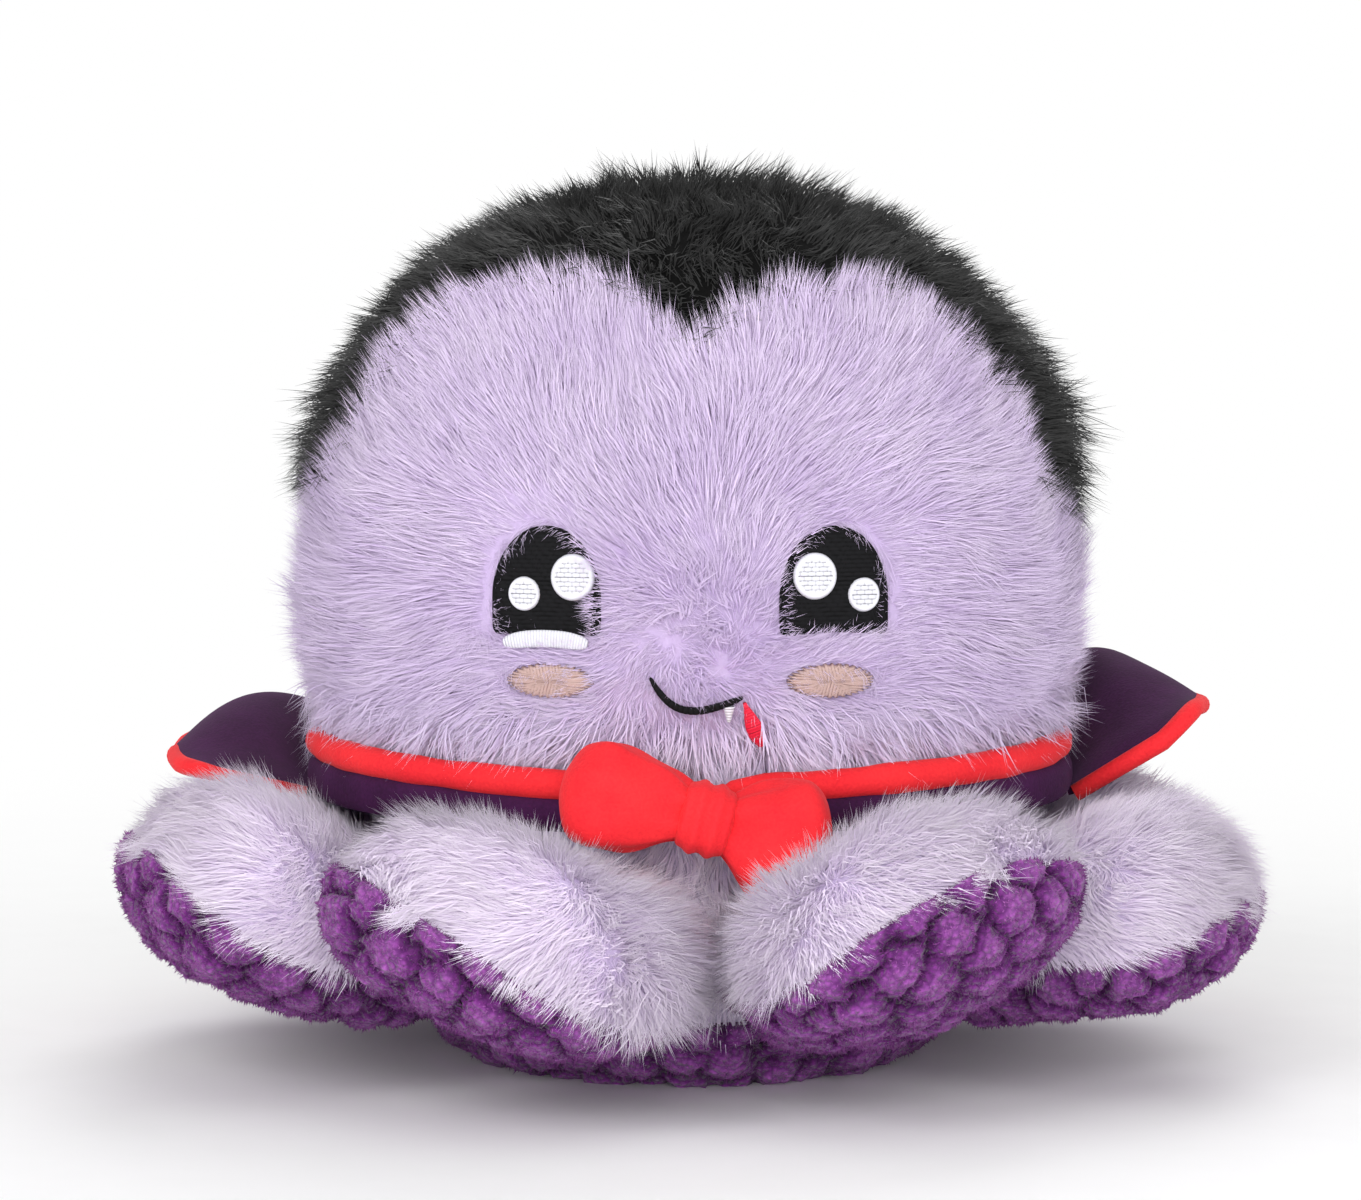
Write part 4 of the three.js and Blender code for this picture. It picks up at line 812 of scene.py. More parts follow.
def on_side_seam(points, shared):
    """The shared points moved along the skin, at their own height, on to the side seam.

    y is the seam's, and x follows from the plan's curve through the point's old place.
    """
    x, y, z = points[shared].T
    seam = side_seam(z)
    size = np.abs(x / HEAD_HALF_WIDTH) ** PLAN_POWER + np.abs(y / HEAD_HALF_DEPTH) ** PLAN_POWER
    left = size - np.abs(seam / HEAD_HALF_DEPTH) ** PLAN_POWER
    near = (z < hairline_height(x)) & (np.abs(y - seam) < 4) & (left > 0)
    across = np.sign(x) * HEAD_HALF_WIDTH * np.maximum(left, 0) ** (1 / PLAN_POWER)
    points[shared[near], :2] = vector(across, seam)[near]
    return points


def head_backing():
    """The cloth that the fur is sewn into: a skin inside the pile, cut in two where the panel and the cap meet."""
    rings = on_grid(head_surface(-HEAD_SKIN), around(120), np.linspace(0, 1, 74)[:-1] ** 0.97).transpose(1, 0, 2)
    points, quads, ends = closed_skin(rings)
    of_panel = in_face(points[quads].mean(1))
    points = on_side_seam(points, np.intersect1d(quads[of_panel], quads[~of_panel]))
    panel_ends = in_face(points[ends].mean(1))
    for name, material, node, wanted in (("face_backing", LILAC_BACKING, "head_face_panel", True),
                                         ("cap_backing", BLACK_BACKING, "head_hair_cap", False)):
        mesh, _ = part_mesh(name, points, quads[of_panel == wanted], ends[panel_ends == wanted])
        add_piece(mesh, material, node)


grow_face("fur", True, 0.5, 0.36)
grow_face("down", False, 3.55, 0.28)
grow_rim()
grow_cap("fur", True, 0.22, 0.46)
grow_cap("down", False, 0.95, 0.46)
head_backing()


# Arms

ARM_REACH, ARM_CURL, ARM_LIFT = 127.0, 34.0, 3.0
ARM_ROOT_RADIUS, ARM_ROOT_HEIGHT = 15.0, 27.0
ARM_UP, ARM_DOWN, ARM_END = 25.0, 15.0, 20.0
ARM_SKIN, ARM_PILE, ARM_TUFTS = 2.6, 9.8, [(2.2, 0.3), (6.5, 0.16)]
HINGE_RADIUS = BODY_APOTHEM + SEAM_GAP + ARM_ROOT_RADIUS
ARM_SWELL, ARM_ROLL = 0.55, 0.6
ARM_ROOT_SHARE, ARM_TIP_SHARE = 0.18, 0.72
ARM_POWER = 2.3
ARM_HALF_WIDTH = (HINGE_RADIUS + ARM_SWELL * (ARM_REACH - HINGE_RADIUS)) * math.sin(math.pi / BODY_SIDES) - 5.7
ARM_ROOT_HALF_WIDTH = BODY_APOTHEM * math.tan(math.pi / BODY_SIDES) - 1.4
BOBBLE_GAP, BOBBLE_HEIGHT = 7.8, 4.6
BOBBLE_SHOULDER, BOBBLE_DOME = 0.42 * BOBBLE_GAP, 0.85 * BOBBLE_GAP
SAMPLE_LIMIT = 5000
SEAM_RISE = -0.02
DOWN = np.array([0, 0, -1.0])
# Each arm's name, shares of the reach and of the curl, roll in degrees, sway, lift, and turn of its seam in degrees
ARMS = [
    ("rear_right", 0.93, 0.6, 0, 0, 0, 0), ("back_right", 0.96, 0.3, -6, 0, 0, 0),
    ("back_left", 0.96, 0.25, 6, 0, 0, 0), ("rear_left", 0.95, 0.35, 0, 0, 0, 0),
    ("side_left", 0.99, 0.7, -6, 0, 1, -6), ("front_left", 0.98, 0.55, -18, -15, 1, -15),
    ("front_right", 0.97, 0.75, 14, 10.05, 1, 0), ("side_right", 0.98, 0.35, 6, 0, 1, 0),
]


def arm_shape(index):
    """The arm's surface as a function of a share from root, 0, to tip, 1, and an angle round it.

    A curled spine carries a section of power 2.3 that grows from the root, swells and closes over a round tip,
    and the whole arm sways to one side by the square of the share.
    The angle runs over the fur side from 0 to pi and over the sole from pi to 2 pi.
    """
    _, reach_share, curl_share, roll, sway, lifted, _ = ARMS[index]
    azimuth = math.radians(BODY_TURN + (index + 0.5) * 360 / BODY_SIDES)
    reach, rise = reach_share * ARM_REACH, curl_share * ARM_CURL
    length, low, high = reach - HINGE_RADIUS, ARM_ROOT_HEIGHT, ARM_ROOT_HEIGHT + lifted * ARM_LIFT
    bends = np.array([[HINGE_RADIUS, low], [HINGE_RADIUS + 0.4 * length, high],
                      [HINGE_RADIUS + 0.72 * length, high + 0.33 * rise], [reach, low + rise]])
    t = np.linspace(0, 1, 200)[:, None]
    line = (1 - t) ** 3 * bends[0] + 3 * (1 - t) ** 2 * t * bends[1]
    line = line + 3 * (1 - t) * t ** 2 * bends[2] + t ** 3 * bends[3]
    walked = np.concatenate([[0], np.cumsum(np.linalg.norm(np.diff(line, axis=0), axis=1))])
    ways = np.gradient(line, axis=0)
    ways /= np.linalg.norm(ways, axis=1, keepdims=True)
    total = walked[-1]

    def surface(share, angle, grow=0.0):
        root = np.clip(share / ARM_ROOT_SHARE, 0, 1)
        tip = np.clip((share - ARM_TIP_SHARE) / (1 - ARM_TIP_SHARE), 0, 1)
        mid = np.clip((share - ARM_ROOT_SHARE) / (ARM_TIP_SHARE - ARM_ROOT_SHARE), 0, 1)
        place = -ARM_ROOT_RADIUS * np.cos(root * np.pi / 2) + mid * (total - ARM_END) \
            + ARM_END * np.sin(tip * np.pi / 2)
        round_root = np.sin(root * np.pi / 2)
        round_tip = np.cos(tip * np.pi / 2)
        spot = np.maximum(place, 0)
        grown = np.sin(np.pi / 2 * np.clip(spot / total / ARM_SWELL, 0, 1)) ** 1.2
        half = (ARM_ROOT_HALF_WIDTH + (ARM_HALF_WIDTH - ARM_ROOT_HALF_WIDTH) * grown) * (0.88 + 0.12 * round_root)
        above = (ARM_ROOT_RADIUS + (ARM_UP - ARM_ROOT_RADIUS) * grown) * round_root
        below = (ARM_ROOT_RADIUS + (ARM_DOWN - ARM_ROOT_RADIUS) * grown) * round_root
        half, above, below = (v * round_tip + grow * np.maximum(round_tip, 0) for v in (half, above, below))
        out = np.interp(spot, walked, line[:, 0]) + np.minimum(place, 0) + grow * np.sin(tip * np.pi / 2)
        up = np.interp(spot, walked, line[:, 1])
        ahead, climb = (np.interp(spot, walked, ways[:, k]) for k in (0, 1))
        roll_now = np.radians(roll) * np.clip(spot / total / ARM_ROLL, 0, 1)
        c, s = super_point(angle, ARM_POWER)
        across = c * half
        high = s * np.where(s > 0, above, below)
        side = across * np.cos(roll_now) - high * np.sin(roll_now) + sway * (spot / total) ** 2
        rise_now = across * np.sin(roll_now) + high * np.cos(roll_now)
        x = out - rise_now * climb
        return vector(x * math.cos(azimuth) - side * math.sin(azimuth),
                      x * math.sin(azimuth) + side * math.cos(azimuth), up + rise_now * ahead)

    return surface


def surface_normal(surface, u, v, step=1e-3):
    """The cross product of the surface's two slopes, each over a small step."""
    slope_u = surface(np.minimum(u + step, 1), v) - surface(np.maximum(u - step, 0), v)
    slope_v = surface(u, v + step) - surface(u, v - step)
    return unit(np.cross(slope_u, slope_v))


def spread_points(places, gap, salt):
    """Places picked one after another, each the farthest from all before it, until they are one gap apart."""
    dice = np.random.default_rng(salt)
    picked = [int(dice.integers(len(places)))]
    away = np.linalg.norm(places - places[picked[0]], axis=1)
    while away.max() > gap:
        picked.append(int(away.argmax()))
        away = np.minimum(away, np.linalg.norm(places - places[picked[-1]], axis=1))
    return places[picked]


def bobbled(points, normals, salt, allowed=1.0):
    """Points raised into packed bobbles, with their crowns as values from 0 to 1.

    With the distances to the two nearest centres, a bobble is a plateau with round shoulders that falls away where
    the two come close, plus a low dome over its centre, plus crumbs of two sizes.
    """
    dice = np.random.default_rng(salt)
    sample = points[dice.choice(len(points), min(len(points), SAMPLE_LIMIT), replace=False)]
    centres = spread_points(sample, BOBBLE_GAP, salt)
    centres = centres + dice.normal(0, 0.6, centres.shape)
    warped = points + 0.7 * vector(*(waves(points, 6.0, salt + 3 + k) for k in range(3)))
    apart = np.linalg.norm(warped[:, None] - centres[None], axis=-1)
    nearest = apart.argmin(1)
    first, second = np.sort(apart, 1)[:, :2].T
    shoulder = np.clip((second - first) / BOBBLE_SHOULDER, 0, 1)
    plateau = np.sqrt(1 - (1 - shoulder) ** 2)
    dome = np.clip(1 - (first / BOBBLE_DOME) ** 2, 0, 1)
    crumbs = 0.3 * waves(points, 2.8, salt + 1, 14) + 0.2 * waves(points, 1.7, salt + 2, 14)
    raised = BOBBLE_HEIGHT * plateau * (0.6 + 0.4 * dome) * dice.uniform(0.8, 1.1, len(centres))[nearest]
    raised = (raised + crumbs * (0.2 + 0.8 * plateau)) * allowed
    return points + raised[:, None] * normals, np.clip(plateau * (0.6 + 0.4 * dome) + 0.12 * crumbs, 0, 1)


def arm_cloth(index, surface, seen):
    """An arm's skin, cut in two along its seam: the backing of the fur, and the sole, raised in bobbles."""
    name, seam_turn = ARMS[index][0], math.radians(ARMS[index][-1])
    rows, sides = (100, 140) if seen else (64, 88)
    share, angle = np.linspace(0, 1, rows + 1)[1:-1], around(sides)
    ss, aa = (value.ravel() for value in np.meshgrid(share, angle, indexing="ij"))
    rings = on_grid(lambda u, v: surface(u, v, -ARM_SKIN), share, angle)
    out = surface_normal(surface, ss, aa)
    if ((rings - rings.mean(1, keepdims=True)).reshape(-1, 3) * out).sum() < 0:
        out = -out
    skin = rings.reshape(-1, 3)
    upward = np.sin(aa - seam_turn)
    sole = upward < SEAM_RISE
    crown = np.zeros(len(skin))
    allowed = smooth_step(-upward[sole], -SEAM_RISE, 0.14)
    skin[sole], crown[sole] = bobbled(skin[sole], out[sole], 100 + index, allowed)
    points, quads, ends = closed_skin(skin.reshape(rings.shape))
    crown, upward = np.concatenate([crown, [0, 0.5]]), np.concatenate([upward, [-1, -1]])
    under_quads, under_ends = (upward[faces].mean(1) < -0.01 for faces in (quads, ends))
    for part, material, under in (("top", PALE_BACKING, False), ("sole", BOBBLES, True)):
        node, shown = f"arm_{name}_{part}", quads[under_quads == under]
        mesh, used = part_mesh(node + "_cloth", points, shown, ends[under_ends == under])
        if under:
            set_values(mesh, "crown", crown[used])
            bobble_pile(f"arm_{name}_pile", node, points, shown, crown, 1.5 if seen else 0.55, 400 + index)
        add_piece(mesh, material, node)


def grow_arm(index, surface, seen):
    """Pile that runs to the tip and down, shorter along the seam, and fuller between the two front arms."""
    name, seam_turn = ARMS[index][0], math.radians(ARMS[index][-1])

    def foot(u, v):
        return surface(u, v, -ARM_SKIN)

    layers = (("fur", True, 0.45, 0.34), ("down", False, 3.5, 0.28)) if seen else (
        ("fur", True, 0.25, 0.44), ("down", False, 1.25, 0.37))
    for kind, bent, density, width in layers:
        su, sv, p = scatter(foot, (0.06, 1), (seam_turn, np.pi + seam_turn), (120, 90), density, 200 + index)
        normals = surface_normal(surface, su, sv)
        middle = 0.5 * (foot(su, np.full_like(sv, np.pi / 2)) + foot(su, np.full_like(sv, 1.5 * np.pi)))
        normals = np.where((((p - middle) * normals).sum(1) > 0)[:, None], normals, -normals)
        to_tip = unit(surface(np.minimum(su + 0.01, 1), sv) - surface(np.maximum(su - 0.01, 0), sv))
        flow = unit(flat_on(to_tip + 0.7 * flat_on(DOWN, normals), normals))
        flow = unit(turned(flow, normals, 0.45 * waves(p, 34, 40 + index) + 0.2 * waves(p, 15, 60 + index)))
        inner = (1 - smooth_step(np.abs(p[:, 0] - 1), 5, 24)) * name.startswith("front")
        length = ARM_PILE * (0.8 + 0.2 * smooth_step(np.sin(sv - seam_turn), 0.0, 0.3))
        length = length * (1 + 0.1 * waves(p, 16, 80 + index)) * (1 + 0.5 * inner)
        lift = 0.58 + 0.12 * waves(p, 18, 90 + index) + 0.4 * inner
        fur(f"arm_{name}_{kind}", f"arm_{name}_top", PALE_FUR, p, normals, flow, length, width, lift,
            ARM_TUFTS, 300 + index, 0.12 * waves(p, 20, 95 + index) + 0.2, sunk=0.4, bent=bent,
            lean=1.5, toward=np.array([0, -0.2, 0.2]), mottle=0.3)


for arm_index, arm in enumerate(ARMS):
    for make in (arm_cloth, grow_arm):
        make(arm_index, arm_shape(arm_index), arm[0].startswith(("front", "side")))


# Body

BODY_SOFTNESS = 0.6
BODY_CELLS = (160, 60)
BASE_LOW = 2.0


def body_radius(height):
    """Straight lines from the rest radius out to the widest, up to the shoulder and in to the neck."""
    return np.interp(height, [0, BASE_PUFF, SHOULDER_HEIGHT, BODY_HEIGHT],
                     [BASE_REST_RADIUS, BODY_APOTHEM, BODY_APOTHEM, NECK_RADIUS])


def body_push(turn):
    """How far a soft octagon stands out: part of one over the cosine of the angle from a face's middle."""
    step = 2 * np.pi / BODY_SIDES
    return 1 + BODY_SOFTNESS * (1 / np.cos((turn - math.radians(BODY_TURN)) % step - step / 2) - 1)


def body_rings(radii, heights, turn):
    """Level rings of a soft octagon, one to each radius and height."""
    flat = vector(np.cos(turn), np.sin(turn), 0) * body_push(turn)[:, None]
    return flat * radii[:, None, None] + vector(0, 0, heights)[:, None]


def body_cover(turn, share):
    """The cover's side from the base to under the neck: a soft octagon whose radius follows the height."""
    height = BASE_PUFF + share * (BODY_HEIGHT - 8 - BASE_PUFF)
    reach = (body_radius(height) - 1) * body_push(turn)
    return vector(reach * np.cos(turn), reach * np.sin(turn), height)


def grow_body(name, density, salt, fur_salt, keep, way, length, width, lift, tuft_pull, **looks):
    """Straight pile on the body's cover; way gives its direction before it is laid flat."""
    p = scatter(body_cover, (0, 2 * np.pi), (0, 1), BODY_CELLS, density, salt, keep)[2]
    normals = unit(p * np.array([1, 1, 0]))
    fur(name, "body_cover", PALE_FUR, p, normals, unit(flat_on(way(p), normals)), length(p), width,
        np.full(len(p), lift), [(2.6, tuft_pull)], fur_salt, bent=False, **looks)


def notch_keep(p):
    """The strip of the body that shows between the two front arms."""
    return (np.abs(p[:, 0] - 2) < 13) & (p[:, 1] < 0) & (p[:, 2] > 20)


def base_cloth():
    """The bobbled base: flat rings out to the rest radius, then a quarter turn up to the body's width."""
    flat_share, rise = np.linspace(0.06, 1, 26), np.linspace(0, np.pi / 2, 18)[1:]
    radii = np.concatenate([flat_share * BASE_REST_RADIUS,
                            BASE_REST_RADIUS + (BODY_APOTHEM - 1 - BASE_REST_RADIUS) * np.sin(rise)])
    heights = BASE_LOW + (BASE_PUFF - BASE_LOW) * np.concatenate([0 * flat_share, 1 - np.cos(rise)])
    rings = body_rings(radii, heights, around(230))
    tilt = np.concatenate([0 * flat_share, np.sin(rise)])[:, None, None]
    normals = unit(unit(rings * np.array([1, 1, 0])) * tilt + DOWN * (1 - tilt * 0.85))
    raised, crown = bobbled(rings.reshape(-1, 3), normals.reshape(-1, 3), 140)
    raised[:, 2] = np.maximum(raised[:, 2], 0.0)
    points, quads, ends = closed_skin(raised.reshape(rings.shape))
    crown = np.concatenate([crown, [0.8, 0.2]])
    mesh = make_mesh("base_bobbles", points, quads, ends)
    set_values(mesh, "crown", crown)
    add_piece(mesh, BOBBLES, "base_panel")
    bobble_pile("base_pile", "base_panel", points, quads, crown, 0.9, 480)


cover_heights = np.linspace(BASE_PUFF, BODY_HEIGHT - 0.5, 30)
add_piece(skin_mesh("body_backing", body_rings(body_radius(cover_heights) - 1.0, cover_heights, around(120))),
          PALE_BACKING, "body_cover")
grow_body("body_down", 0.35, 25, 35, None, lambda p: np.array([0.1, 0.1, -1.0]), lambda p: 7.0, 0.5, 0.6, 0.3)
# The notch strip's lighter tone (shade 0.25) is painted light in the shade between the front arms.
grow_body("body_front_down", 2.2, 33, 39, notch_keep, lambda p: vector(0.5 * waves(p, 9, 34), 0, -0.7),
          lambda p: 15 + 3 * waves(p, 8, 36), 0.34, 1.15, 0.4, shade=0.25, toward=np.array([0, -0.6, 0.8]))
base_cloth()


# Collar

COLLAR_HALF_WIDTH, COLLAR_HALF_DEPTH, COLLAR_WALL, PIPING_RADIUS = 83.0, 69.0, 6.0, 3.0
COLLAR_FRONT_TOP, COLLAR_SIDE_TOP = HEAD_FLOOR - 2.5, HEAD_FLOOR + 1.2
COLLAR_FRONT_LOW, COLLAR_SIDE_LOW = COLLAR_FRONT_TOP - 6.8, COLLAR_SIDE_TOP - 9
COLLAR_STEPS, COLLAR_END_STEPS = 110, 6
FRINGE_PILE, FRINGE_TUFTS = 13.2, [(2.4, 0.45), (6.5, 0.25)]
FRINGE_START, FRINGE_FADE, FRINGE_RISE = 1.5, 12, 14
SIDES = (("left", -1), ("right", 1))


def collar_place(azimuth, half_width, half_depth):
    """A point of the head's plan, an oval of power 2.15, in another size."""
    x, y = super_point(azimuth, PLAN_POWER)
    return vector(x * half_width, y * half_depth, 0)


def collar_rise(azimuth, front, side):
    """Level round the back, and falling from the sides to the front by the cosine to the power 1.3."""
    share = np.where(np.sin(azimuth) < 0, np.abs(np.cos(azimuth)) ** 1.3, 1)
    return front + (side - front) * share


def collar_half(label, side):
    """A flap, whose section of power 2.6 closes round at its end, and the rolled edge along its top."""
    azimuth = -np.pi / 2 + side * np.radians(np.linspace(3.5, 180, COLLAR_STEPS))
    top = collar_rise(azimuth, COLLAR_FRONT_TOP, COLLAR_SIDE_TOP)
    low = collar_rise(azimuth, COLLAR_FRONT_LOW, COLLAR_SIDE_LOW)
    outer = collar_place(azimuth, COLLAR_HALF_WIDTH, COLLAR_HALF_DEPTH)
    outward = unit(outer)
    path = outer - outward * COLLAR_WALL * 0.5
    from_end = np.minimum(np.arange(COLLAR_STEPS), COLLAR_END_STEPS) / COLLAR_END_STEPS
    full = np.minimum(1, np.sqrt(1 - (1 - from_end) ** 2) + 0.05)
    c, s = super_point(around(26), 2.6)
    reach = c * (COLLAR_WALL * 0.5 * (1 + 0.05 * waves(outer, 17, 50)) * full)[:, None]
    rings = path[:, None] + outward[:, None] * reach[..., None]
    rings[..., 2] = ((top + low) / 2)[:, None] + s * ((top - low) / 2 * full)[:, None]
    add_piece(skin_mesh(f"collar_flap_{label}", rings), PURPLE_VELOUR, f"collar_{label}")
    path[:, 2] = top + PIPING_RADIUS - 0.6
    tube = tube_rings(path, PIPING_RADIUS * 1.06 * (1 + 0.06 * waves(path, 15, 51)) * full, 18)
    add_piece(skin_mesh(f"collar_edge_{label}", tube), RED_VELOUR, f"collar_piping_{label}")


def band_top(p):
    """The height of the rolled edge's top beside a place."""
    azimuth = np.arctan2(p[:, 1] / COLLAR_HALF_DEPTH, p[:, 0] / COLLAR_HALF_WIDTH)
    return collar_rise(azimuth, COLLAR_FRONT_TOP, COLLAR_SIDE_TOP) + SEAM_GAP + 2 * PIPING_RADIUS


def fringe_keep(p):
    """Low on the face, fewer and fewer strands upward, by a cell's own chance."""
    over = (p[:, 2] - band_top(p) - FRINGE_START) / FRINGE_FADE
    return face_keep(p) & (over > 0) & (cell_random(np.floor(p / 0.9), 71)[:, 0] > over)


def grow_fringe(kind, bent, density, width):
    """Long fur low on the face that hangs over the collar's edge, lighter in colour low down and most at the chin as
    painted light, where its normals also lean up at the light.
    """
    p, normals = on_head(density, 24, fringe_keep)
    way = vector(0.5 * waves(p, 16, 25), 0, -1.0) + 0.6 * face_flow(p, normals)
    over = np.clip((p[:, 2] - band_top(p)) / FRINGE_RISE, 0, 1)
    outward = unit(p * np.array([1 / COLLAR_HALF_WIDTH ** 2, 1 / COLLAR_HALF_DEPTH ** 2, 0]))
    at_chin = bell(p[:, 0], 4, 34) * (p[:, 1] < 0)
    # The fringe's lighter tone, more so low down and most at the chin, is painted light on fur in the head's shade.
    fur("face_" + kind, "head_face_panel", LILAC_FUR, p, normals, unit(flat_on(way, normals)),
        FRINGE_PILE * (1 + 0.2 * waves(p, 11, 26)), width, 1.1 - 0.3 * over, FRINGE_TUFTS, 38,
        0.2 - 0.15 * over + 0.4 * at_chin, bow=0.45, ruffle=0.3, bent=bent,
        toward=1.2 * outward + np.array([0, 0, 0.5]) + at_chin[:, None] * np.array([0, -0.3, 0.9]))


for label, side in SIDES:
    collar_half(label, side)
grow_fringe("fringe", True, 1.3, 0.32)
grow_fringe("underfringe", False, 2.6, 0.28)


# Cape

CAPE_INSET, CAPE_SIDE_REACH, CAPE_BACK_REACH = 0.7, 33.0, 43.0
CAPE_LIFT, CAPE_SAG, CAPE_DROOP, CAPE_WALL = 11.0, 6.0, 12.0, 1.6
CAPE_START, CAPE_END = math.radians(-5), math.radians(187)
CAPE_NECK_HEIGHT = COLLAR_SIDE_LOW - SEAM_GAP
CAPE_RIGHT_CORNER, CAPE_LEFT_CORNER = CAPE_NECK_HEIGHT + 22.8, CAPE_NECK_HEIGHT + 8.8
CAPE_COLUMNS, CAPE_ROWS = 190, 46
TRIM_RADIUS = 2.0


def cape_knots():
    """Places and heights of the cape over the four arms under it, and of the sag between each two."""
    arms = [(math.radians(BODY_TURN + (k + 0.5) * 360 / BODY_SIDES),
             ARM_ROOT_HEIGHT + ARM_UP + ARMS[k][2] * ARM_CURL + CAPE_LIFT) for k in range(4)]
    sags = [((a + b) / 2, min(high, low) - CAPE_SAG) for (a, high), (b, low) in zip(arms, arms[1:])]
    return np.array(sorted([(CAPE_START, CAPE_RIGHT_CORNER), *arms, *sags, (CAPE_END, CAPE_LEFT_CORNER)]))


def cape_surface(out_share, share):
    """The cape over the arms: from the neck ring to the hem ring, up to a ridge by a sine and down by a square.

    Towards its two corners, by the share from the middle to the power 8, it rises by the power 1.3 and stays up.
    """
    azimuth = CAPE_START + (CAPE_END - CAPE_START) * share
    middle = 2 * share - 1
    out = out_share * (0.04 + 0.96 * np.maximum(1 - np.abs(middle) ** 6, 0) ** (1 / 6))
    neck = collar_place(azimuth, COLLAR_HALF_WIDTH - CAPE_INSET, COLLAR_HALF_DEPTH - CAPE_INSET)
    hem = collar_place(azimuth, COLLAR_HALF_WIDTH + CAPE_SIDE_REACH, COLLAR_HALF_DEPTH + CAPE_BACK_REACH)
    point = neck + (hem - neck) * out[..., None]
    knots = cape_knots()
    after = np.clip(np.searchsorted(knots[:, 0], azimuth - 1e-6), 1, len(knots) - 1)
    start, start_height, end, end_height = *knots[after - 1].T, *knots[after].T
    ridge = start_height + (end_height - start_height) * smooth_step((azimuth - start) / (end - start), 0, 1)
    corner = np.abs(middle) ** 8
    climb = np.sin(np.pi / 2 * np.minimum(1, out / 0.5))
    climb = climb + (out ** 1.3 - climb) * corner
    droop = CAPE_DROOP * np.maximum(0, (out - 0.5) / 0.5) ** 2 * (1 - corner)
    crease = 0.8 * waves(point, 26, 70) * np.minimum(1, out * 3)
    point[..., 2] = CAPE_NECK_HEIGHT + (ridge - CAPE_NECK_HEIGHT) * climb - droop + crease
    return point


cape_share = np.linspace(0, 1, CAPE_COLUMNS)
cape_share = 0.6 * cape_share + 0.4 * (1 - np.cos(np.pi * cape_share)) / 2
cape_points = on_grid(cape_surface, np.linspace(0, 1, CAPE_ROWS), cape_share)
cape_faces = grid_quads(CAPE_ROWS, CAPE_COLUMNS, False)[:, ::-1]
cape = add_piece(make_mesh("cape_cloth", cape_points.reshape(-1, 3), cape_faces), PURPLE_VELOUR, "cape_panel")
wall = cape.modifiers.new("wall", "SOLIDIFY")
wall.thickness, wall.offset = CAPE_WALL * MM, 1
hem_line = cape_points[-1]
trim = add_piece(skin_mesh("cape_edge", tube_rings(hem_line, TRIM_RADIUS * (1 + 0.08 * waves(hem_line, 14, 71)), 14)),
                 RED_VELOUR, "cape_trim")


# Bow

BOW_PLACE, BOW_HEIGHT, BOW_TILT = 3.5, HEAD_FLOOR - 3.3, math.radians(15)
BOW_FRONT = -COLLAR_HALF_DEPTH - SEAM_GAP - 8.5
LOBE_RINGS, LOBE_SIDES, LOBE_POWER, LOBE_ROUND = 60, 64, 2.3, 9.0
KNOT_HALF_WIDTH, KNOT_HALF_DEPTH, KNOT_HALF_HEIGHT, KNOT_POWER = 5.6, 8.6, 7.4, 2.6


def bow_piece(name, node, rings):
    """A padded piece whose own points are turned clockwise in the front view and moved to the collar's front."""
    c, s = math.cos(BOW_TILT), math.sin(BOW_TILT)
    x, y, z = np.moveaxis(rings, -1, 0)
    placed = vector(x * c + z * s + BOW_PLACE, y + BOW_FRONT, -x * s + z * c + BOW_HEIGHT)
    add_piece(skin_mesh(name, placed), RED_VELOUR, node)


def bow_lobe(label, side, long, grown, drop):
    """A padded lobe: a section of power 2.3 that opens from the knot by a sine and closes round, with pinch folds."""
    share = (1 - (1 - np.linspace(0, 1, LOBE_RINGS)) ** 1.8)[:, None]
    turn = around(LOBE_SIDES)
    swell = np.sin(np.pi / 2 * np.minimum(1, share / 0.7))
    to_end = np.minimum(1, (1 - share) * 23.0 / LOBE_ROUND)
    close = np.sqrt(np.maximum(0, 1 - (1 - to_end) ** 2)) * 0.92 + 0.08
    c, s = super_point(turn, LOBE_POWER)
    fold = 1 + (0.12 * np.cos(5 * turn) + 0.05 * np.cos(9 * turn + 1)) * (1 - 0.85 * swell)
    rings = vector(side * (4.4 + long * share), c * ((5.6 + 3.4 * swell) * close) * fold,
                   s * ((6.0 + grown * swell) * close) * fold)
    lumps = waves(rings.reshape(-1, 3), 12, 75).reshape(LOBE_RINGS, LOBE_SIDES, 1)
    rings = rings + 0.55 * lumps * unit(rings * [0, 1, 1])
    rings[..., 2] -= 1.2 + drop * share
    bow_piece(f"bow_lobe_{label}", f"bow_{label}_lobe", rings)


def bow_knot():
    """The knot: a barrel of power 2.6 with soft shoulders and two shallow folds."""
    share = np.sin(np.linspace(-np.pi / 2, np.pi / 2, 34))[:, None]
    c, s = super_point(around(56), KNOT_POWER)
    full = (0.35 + 0.65 * np.sqrt(np.maximum(0, 1 - share ** 6))) * (1 - 0.05 * np.cos(2 * np.pi * share * 1.5))
    bow_piece("bow_middle", "bow_knot", vector(share * KNOT_HALF_WIDTH, c * KNOT_HALF_DEPTH * full,
                                               s * KNOT_HALF_HEIGHT * full - 1.2))


bow_lobe("left", -1, 26.0, 5.4, 0.6)
bow_lobe("right", 1, 22.0, 8.2, 2.2)
bow_knot()


# Embroidery

